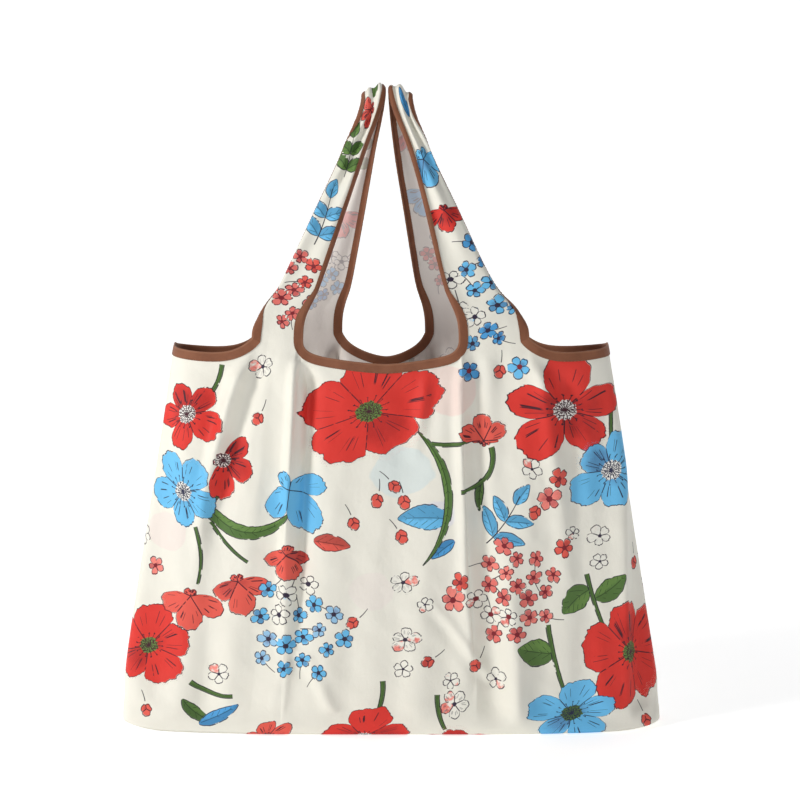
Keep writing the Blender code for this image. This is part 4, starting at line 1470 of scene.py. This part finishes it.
def make_tapes(grids, tape, tape_thread):
    """The bindings: one round the mouth and the handles' inner edges, one round each armhole."""
    profile = tape_profile()
    surface = Surface(grids)

    def bind(runs, *pieces):
        """Binds a closed edge with a piece of tape on each of its runs."""
        for edge, (name, where) in zip(closed_edge(runs), pieces):
            places, sides = walked = surface.walk_in(*edge, TAPE_STEPS, TAPE_WIDTH / TAPE_STEPS)
            piece = sweep(name + "_tape", *edge, profile, tape, ripple_size=0.00012, walked=walked)
            place(piece, where, "brown_binding", name + "_binding")
            seam = 0.7 * places[:, -1] + 0.3 * places[:, -2]
            lines = [(seam + sides[:, -1] * side * (TAPE_SLOT + TAPE_WALL), sides[:, -1] * side) for side in (1, -1)]
            place(stitches(name + "_tape_stitches", lines, tape_thread, 0.00028), where, "brown_binding")

    front_marks, back_marks = grids[FRONT][2], grids[BACK][2]
    bind((top_run(grids, FRONT, front_marks[1], front_marks[2] + 1),
          handle_run(grids, RIGHT, 0),
          flipped(top_run(grids, BACK, back_marks[1], back_marks[2] + 1)),
          flipped(handle_run(grids, LEFT, 0))),
         ("front_mouth", "bag"), ("right_handle_inner", RIGHT), ("back_mouth", "bag"), ("left_handle_inner", LEFT))
    for side in (LEFT, RIGHT):
        if side == LEFT:
            front = top_run(grids, FRONT, 0, front_marks[0] + 1)
            back = flipped(top_run(grids, BACK, 0, back_marks[0] + 1))
        else:
            front = flipped(top_run(grids, FRONT, front_marks[3], None))
            back = top_run(grids, BACK, back_marks[3], None)
        bind((joined(back, front), handle_run(grids, side, -1)),
             (SIDE_WORD[side] + "_armhole", "bag"), (SIDE_WORD[side] + "_handle_outer", side))


def seam_profile(depth, thick):
    """A folded seam allowance: two plies with rounded edges."""
    half = thick / 2
    return [(half, 0.0), (half, depth * 0.5), (half * 1.1, depth * 0.93), (half * 0.5, depth),
            (-half * 0.5, depth), (-half * 1.1, depth * 0.93), (-half, depth * 0.5), (-half, 0.0)]


def make_seams(grids, seam_cloth, pale_thread):
    """The side seams' allowances inside the bag and the seams' stitches outside."""
    for side, column in ((LEFT, 0), (RIGHT, -1)):
        word = SIDE_WORD[side]
        edge = grids[FRONT][0][FINE.base_cells:-3, column]
        normals = np.tile([0.0, 1.0, 0.0], (len(edge), 1))
        inward = np.tile([-side, 0.0, 0.0], (len(edge), 1)).astype(float)
        seam = sweep(f"{word}_side_seam_allowance", edge + inward * 0.0006, normals, inward,
                     seam_profile(0.008, 0.0012), seam_cloth, ripple_size=0.0002)
        place(seam, "bag", "seam_cloth", f"{word}_side_seam")
        lines = [(edge + inward * 0.005 + normals * s * 0.0007, normals * s) for s in (1, -1)]
        place(stitches(f"{word}_side_seam_stitches", lines, pale_thread), "bag", "seam_cloth")
        crest = grids[FRONT][3][side][0][-1, 5:-7] - (0.0, 0.0, 0.0006)
        normals = np.tile([0.0, 1.0, 0.0], (len(crest), 1))
        down = np.tile([0.0, 0.0, -1.0], (len(crest), 1))
        seam = sweep(f"{word}_shoulder_seam_allowance", crest, normals, down, seam_profile(0.0048, 0.0014),
                     seam_cloth)
        place(seam, f"{word}_handle", "seam_cloth", f"{word}_shoulder_seam")
    for name in ("left_corner_seam", "right_corner_seam", "bottom_seam", "pouch_side_seam"):
        set_material(name, seam_cloth)


def set_material(name, material):
    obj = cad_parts[name]
    obj.data.materials.clear()
    obj.data.materials.append(material)


def pouch_grid(half, top_z, height, y_at, rows=30):
    """Points and normals of a pouch's sheet, whose cloth lies at y_at(x, share of the way down)."""
    x, down = np.meshgrid(np.linspace(-half, half, 41), np.linspace(0.0, 1.0, rows + 1))
    points = np.stack([x, y_at(x, down), top_z - height * down], -1)
    return points, grid_normals(points, FRONT)


def make_pouch(pale_thread, web):
    """The storage pouch behind the mouth, its tab, hem and webbing loop."""
    outside = bpy.data.materials["printed_outside"]
    low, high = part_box("pouch_back_leaf")
    half, top_z, height = high.x, high.z, high.z - low.z
    back_y = (low.y + high.y) / 2
    hem_low, hem_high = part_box("pouch_hem")
    hem_height = hem_high.z - hem_low.z

    def crease(x, down, seed):
        return 0.0005 * crumple(x * 1.6, down * 0.09, seed)

    def back_at(x, down):
        return back_y + crease(x, down, 0.4) * (1 - down)

    def front_at(x, down):
        bulge = 0.0045 * (1.0 - np.minimum(1.0, np.abs(x) / half) ** 4) * (1.0 - down ** 3)
        return back_y - 0.0012 - bulge + crease(x, down, 1.9) * (1 - np.abs(x) / half) * (1 - down)

    def hem_at(x, down):
        return front_at(x, (top_z - hem_high.z + hem_height * down) / height) - 0.0010

    made = (("pouch_back_cloth", pouch_grid(half, top_z, height, back_at), "pouch_back_leaf"),
            ("pouch_front_cloth", pouch_grid(half, top_z, height, front_at), "pouch_front_leaf"),
            ("pouch_hem_cloth", pouch_grid(hem_high.x, hem_high.z, hem_height, hem_at, rows=6), "pouch_hem"))
    for k, (name, (points, normals), node_name) in enumerate(made):
        places = np.stack([points[..., 0] + 0.05 * k, points[..., 2] - 0.09], -1)
        piece = printed_sheet(name, points, normals, places, 0.08, CLOTH, (outside, outside), "pouch", node_name)
    lines = [(points[row] + normals[row] * (CLOTH * 0.5), normals[row]) for row in (1, 5)]
    place(stitches("pouch_hem_stitches", lines, pale_thread), "pouch", "printed_polyester")
    set_material("pouch_tab", plain_cloth("tab_cloth", (0.76, 0.72, 0.64)))
    for name in ("pouch_loop", "loop_bartack"):
        set_material(name, web)


def aimed(name, data, spot, goal):
    """A lamp or camera at one spot that looks at another."""
    obj = bpy.data.objects.new(name, data)
    obj.location = spot
    obj.rotation_euler = (Vector(goal) - Vector(spot)).to_track_quat("-Z", "Y").to_euler()
    bpy.context.scene.collection.objects.link(obj)
    return obj


def make_stage():
    """A pale floor that curves up behind the bag, soft lights, and the camera."""
    mat, shader = new_material("studio_paper")
    fibres = noise(object_place(), 30.0, 3.0)
    feed(shader.inputs["Base Color"], blend_colours(fibres, (0.860, 0.860, 0.855), (0.885, 0.885, 0.880)))
    for name, value in (("Roughness", 0.9), ("Emission Color", (1.0, 1.0, 1.0)), ("Emission Strength", 0.47)):
        feed(shader.inputs[name], value)
    half, near, far, height, radius = 6.0, -5.0, 1.6, 4.5, 1.2
    outline = [(near, 0.0)]
    for k in range(17):
        turn = math.pi / 2 * k / 16
        outline.append((far + radius * math.sin(turn), radius * (1 - math.cos(turn))))
    outline.append((far + radius, height))
    verts = [(side * half, y, z - 0.0004) for y, z in outline for side in (-1, 1)]
    faces = [(2 * k, 2 * k + 1, 2 * k + 3, 2 * k + 2) for k in range(len(outline) - 1)]
    mesh_piece("studio_floor", verts, faces, mat)

    scene = bpy.context.scene
    scene.world = bpy.data.worlds.new("studio")
    scene.world.use_nodes = True
    background = scene.world.node_tree.nodes["Background"]
    feed(background.inputs["Color"], (0.96, 0.97, 1.0))
    feed(background.inputs["Strength"], 0.32)
    for name, spot, size, power, colour in (
            ("key", (-2.12, -1.28, 1.3), 0.6, 42.0, (1.0, 0.98, 0.95)),
            ("fill", (1.8, -2.2, 0.7), 1.6, 2.5, (0.96, 0.97, 1.0)),
            ("rim", (1.2, 1.6, 1.6), 1.0, 5.0, (1.0, 1.0, 1.0))):
        lamp = bpy.data.lights.new(name, "AREA")
        lamp.shape, lamp.size, lamp.energy, lamp.color = "DISK", size, power, colour
        aimed(name, lamp, spot, BAG_MIDDLE)
    camera = bpy.data.cameras.new("camera")
    camera.lens = 85.0
    elevation = math.radians(CAMERA_ELEVATION)
    spot = CAMERA_TARGET + CAMERA_DISTANCE * Vector((0.0, -math.cos(elevation), math.sin(elevation)))
    scene.camera = aimed("camera", camera, spot, CAMERA_TARGET)
    scene.view_settings.view_transform = "Standard"


make_stage()
lay_out_print()
GRIDS = make_cloth()
make_tapes(GRIDS, tape_cloth(), thread("brown_thread", (0.26, 0.13, 0.07)))
PALE_THREAD = thread("cream_thread", (0.80, 0.77, 0.70))
make_seams(GRIDS, plain_cloth("seam_allowance", (0.70, 0.66, 0.60)), PALE_THREAD)
make_pouch(PALE_THREAD, webbing())
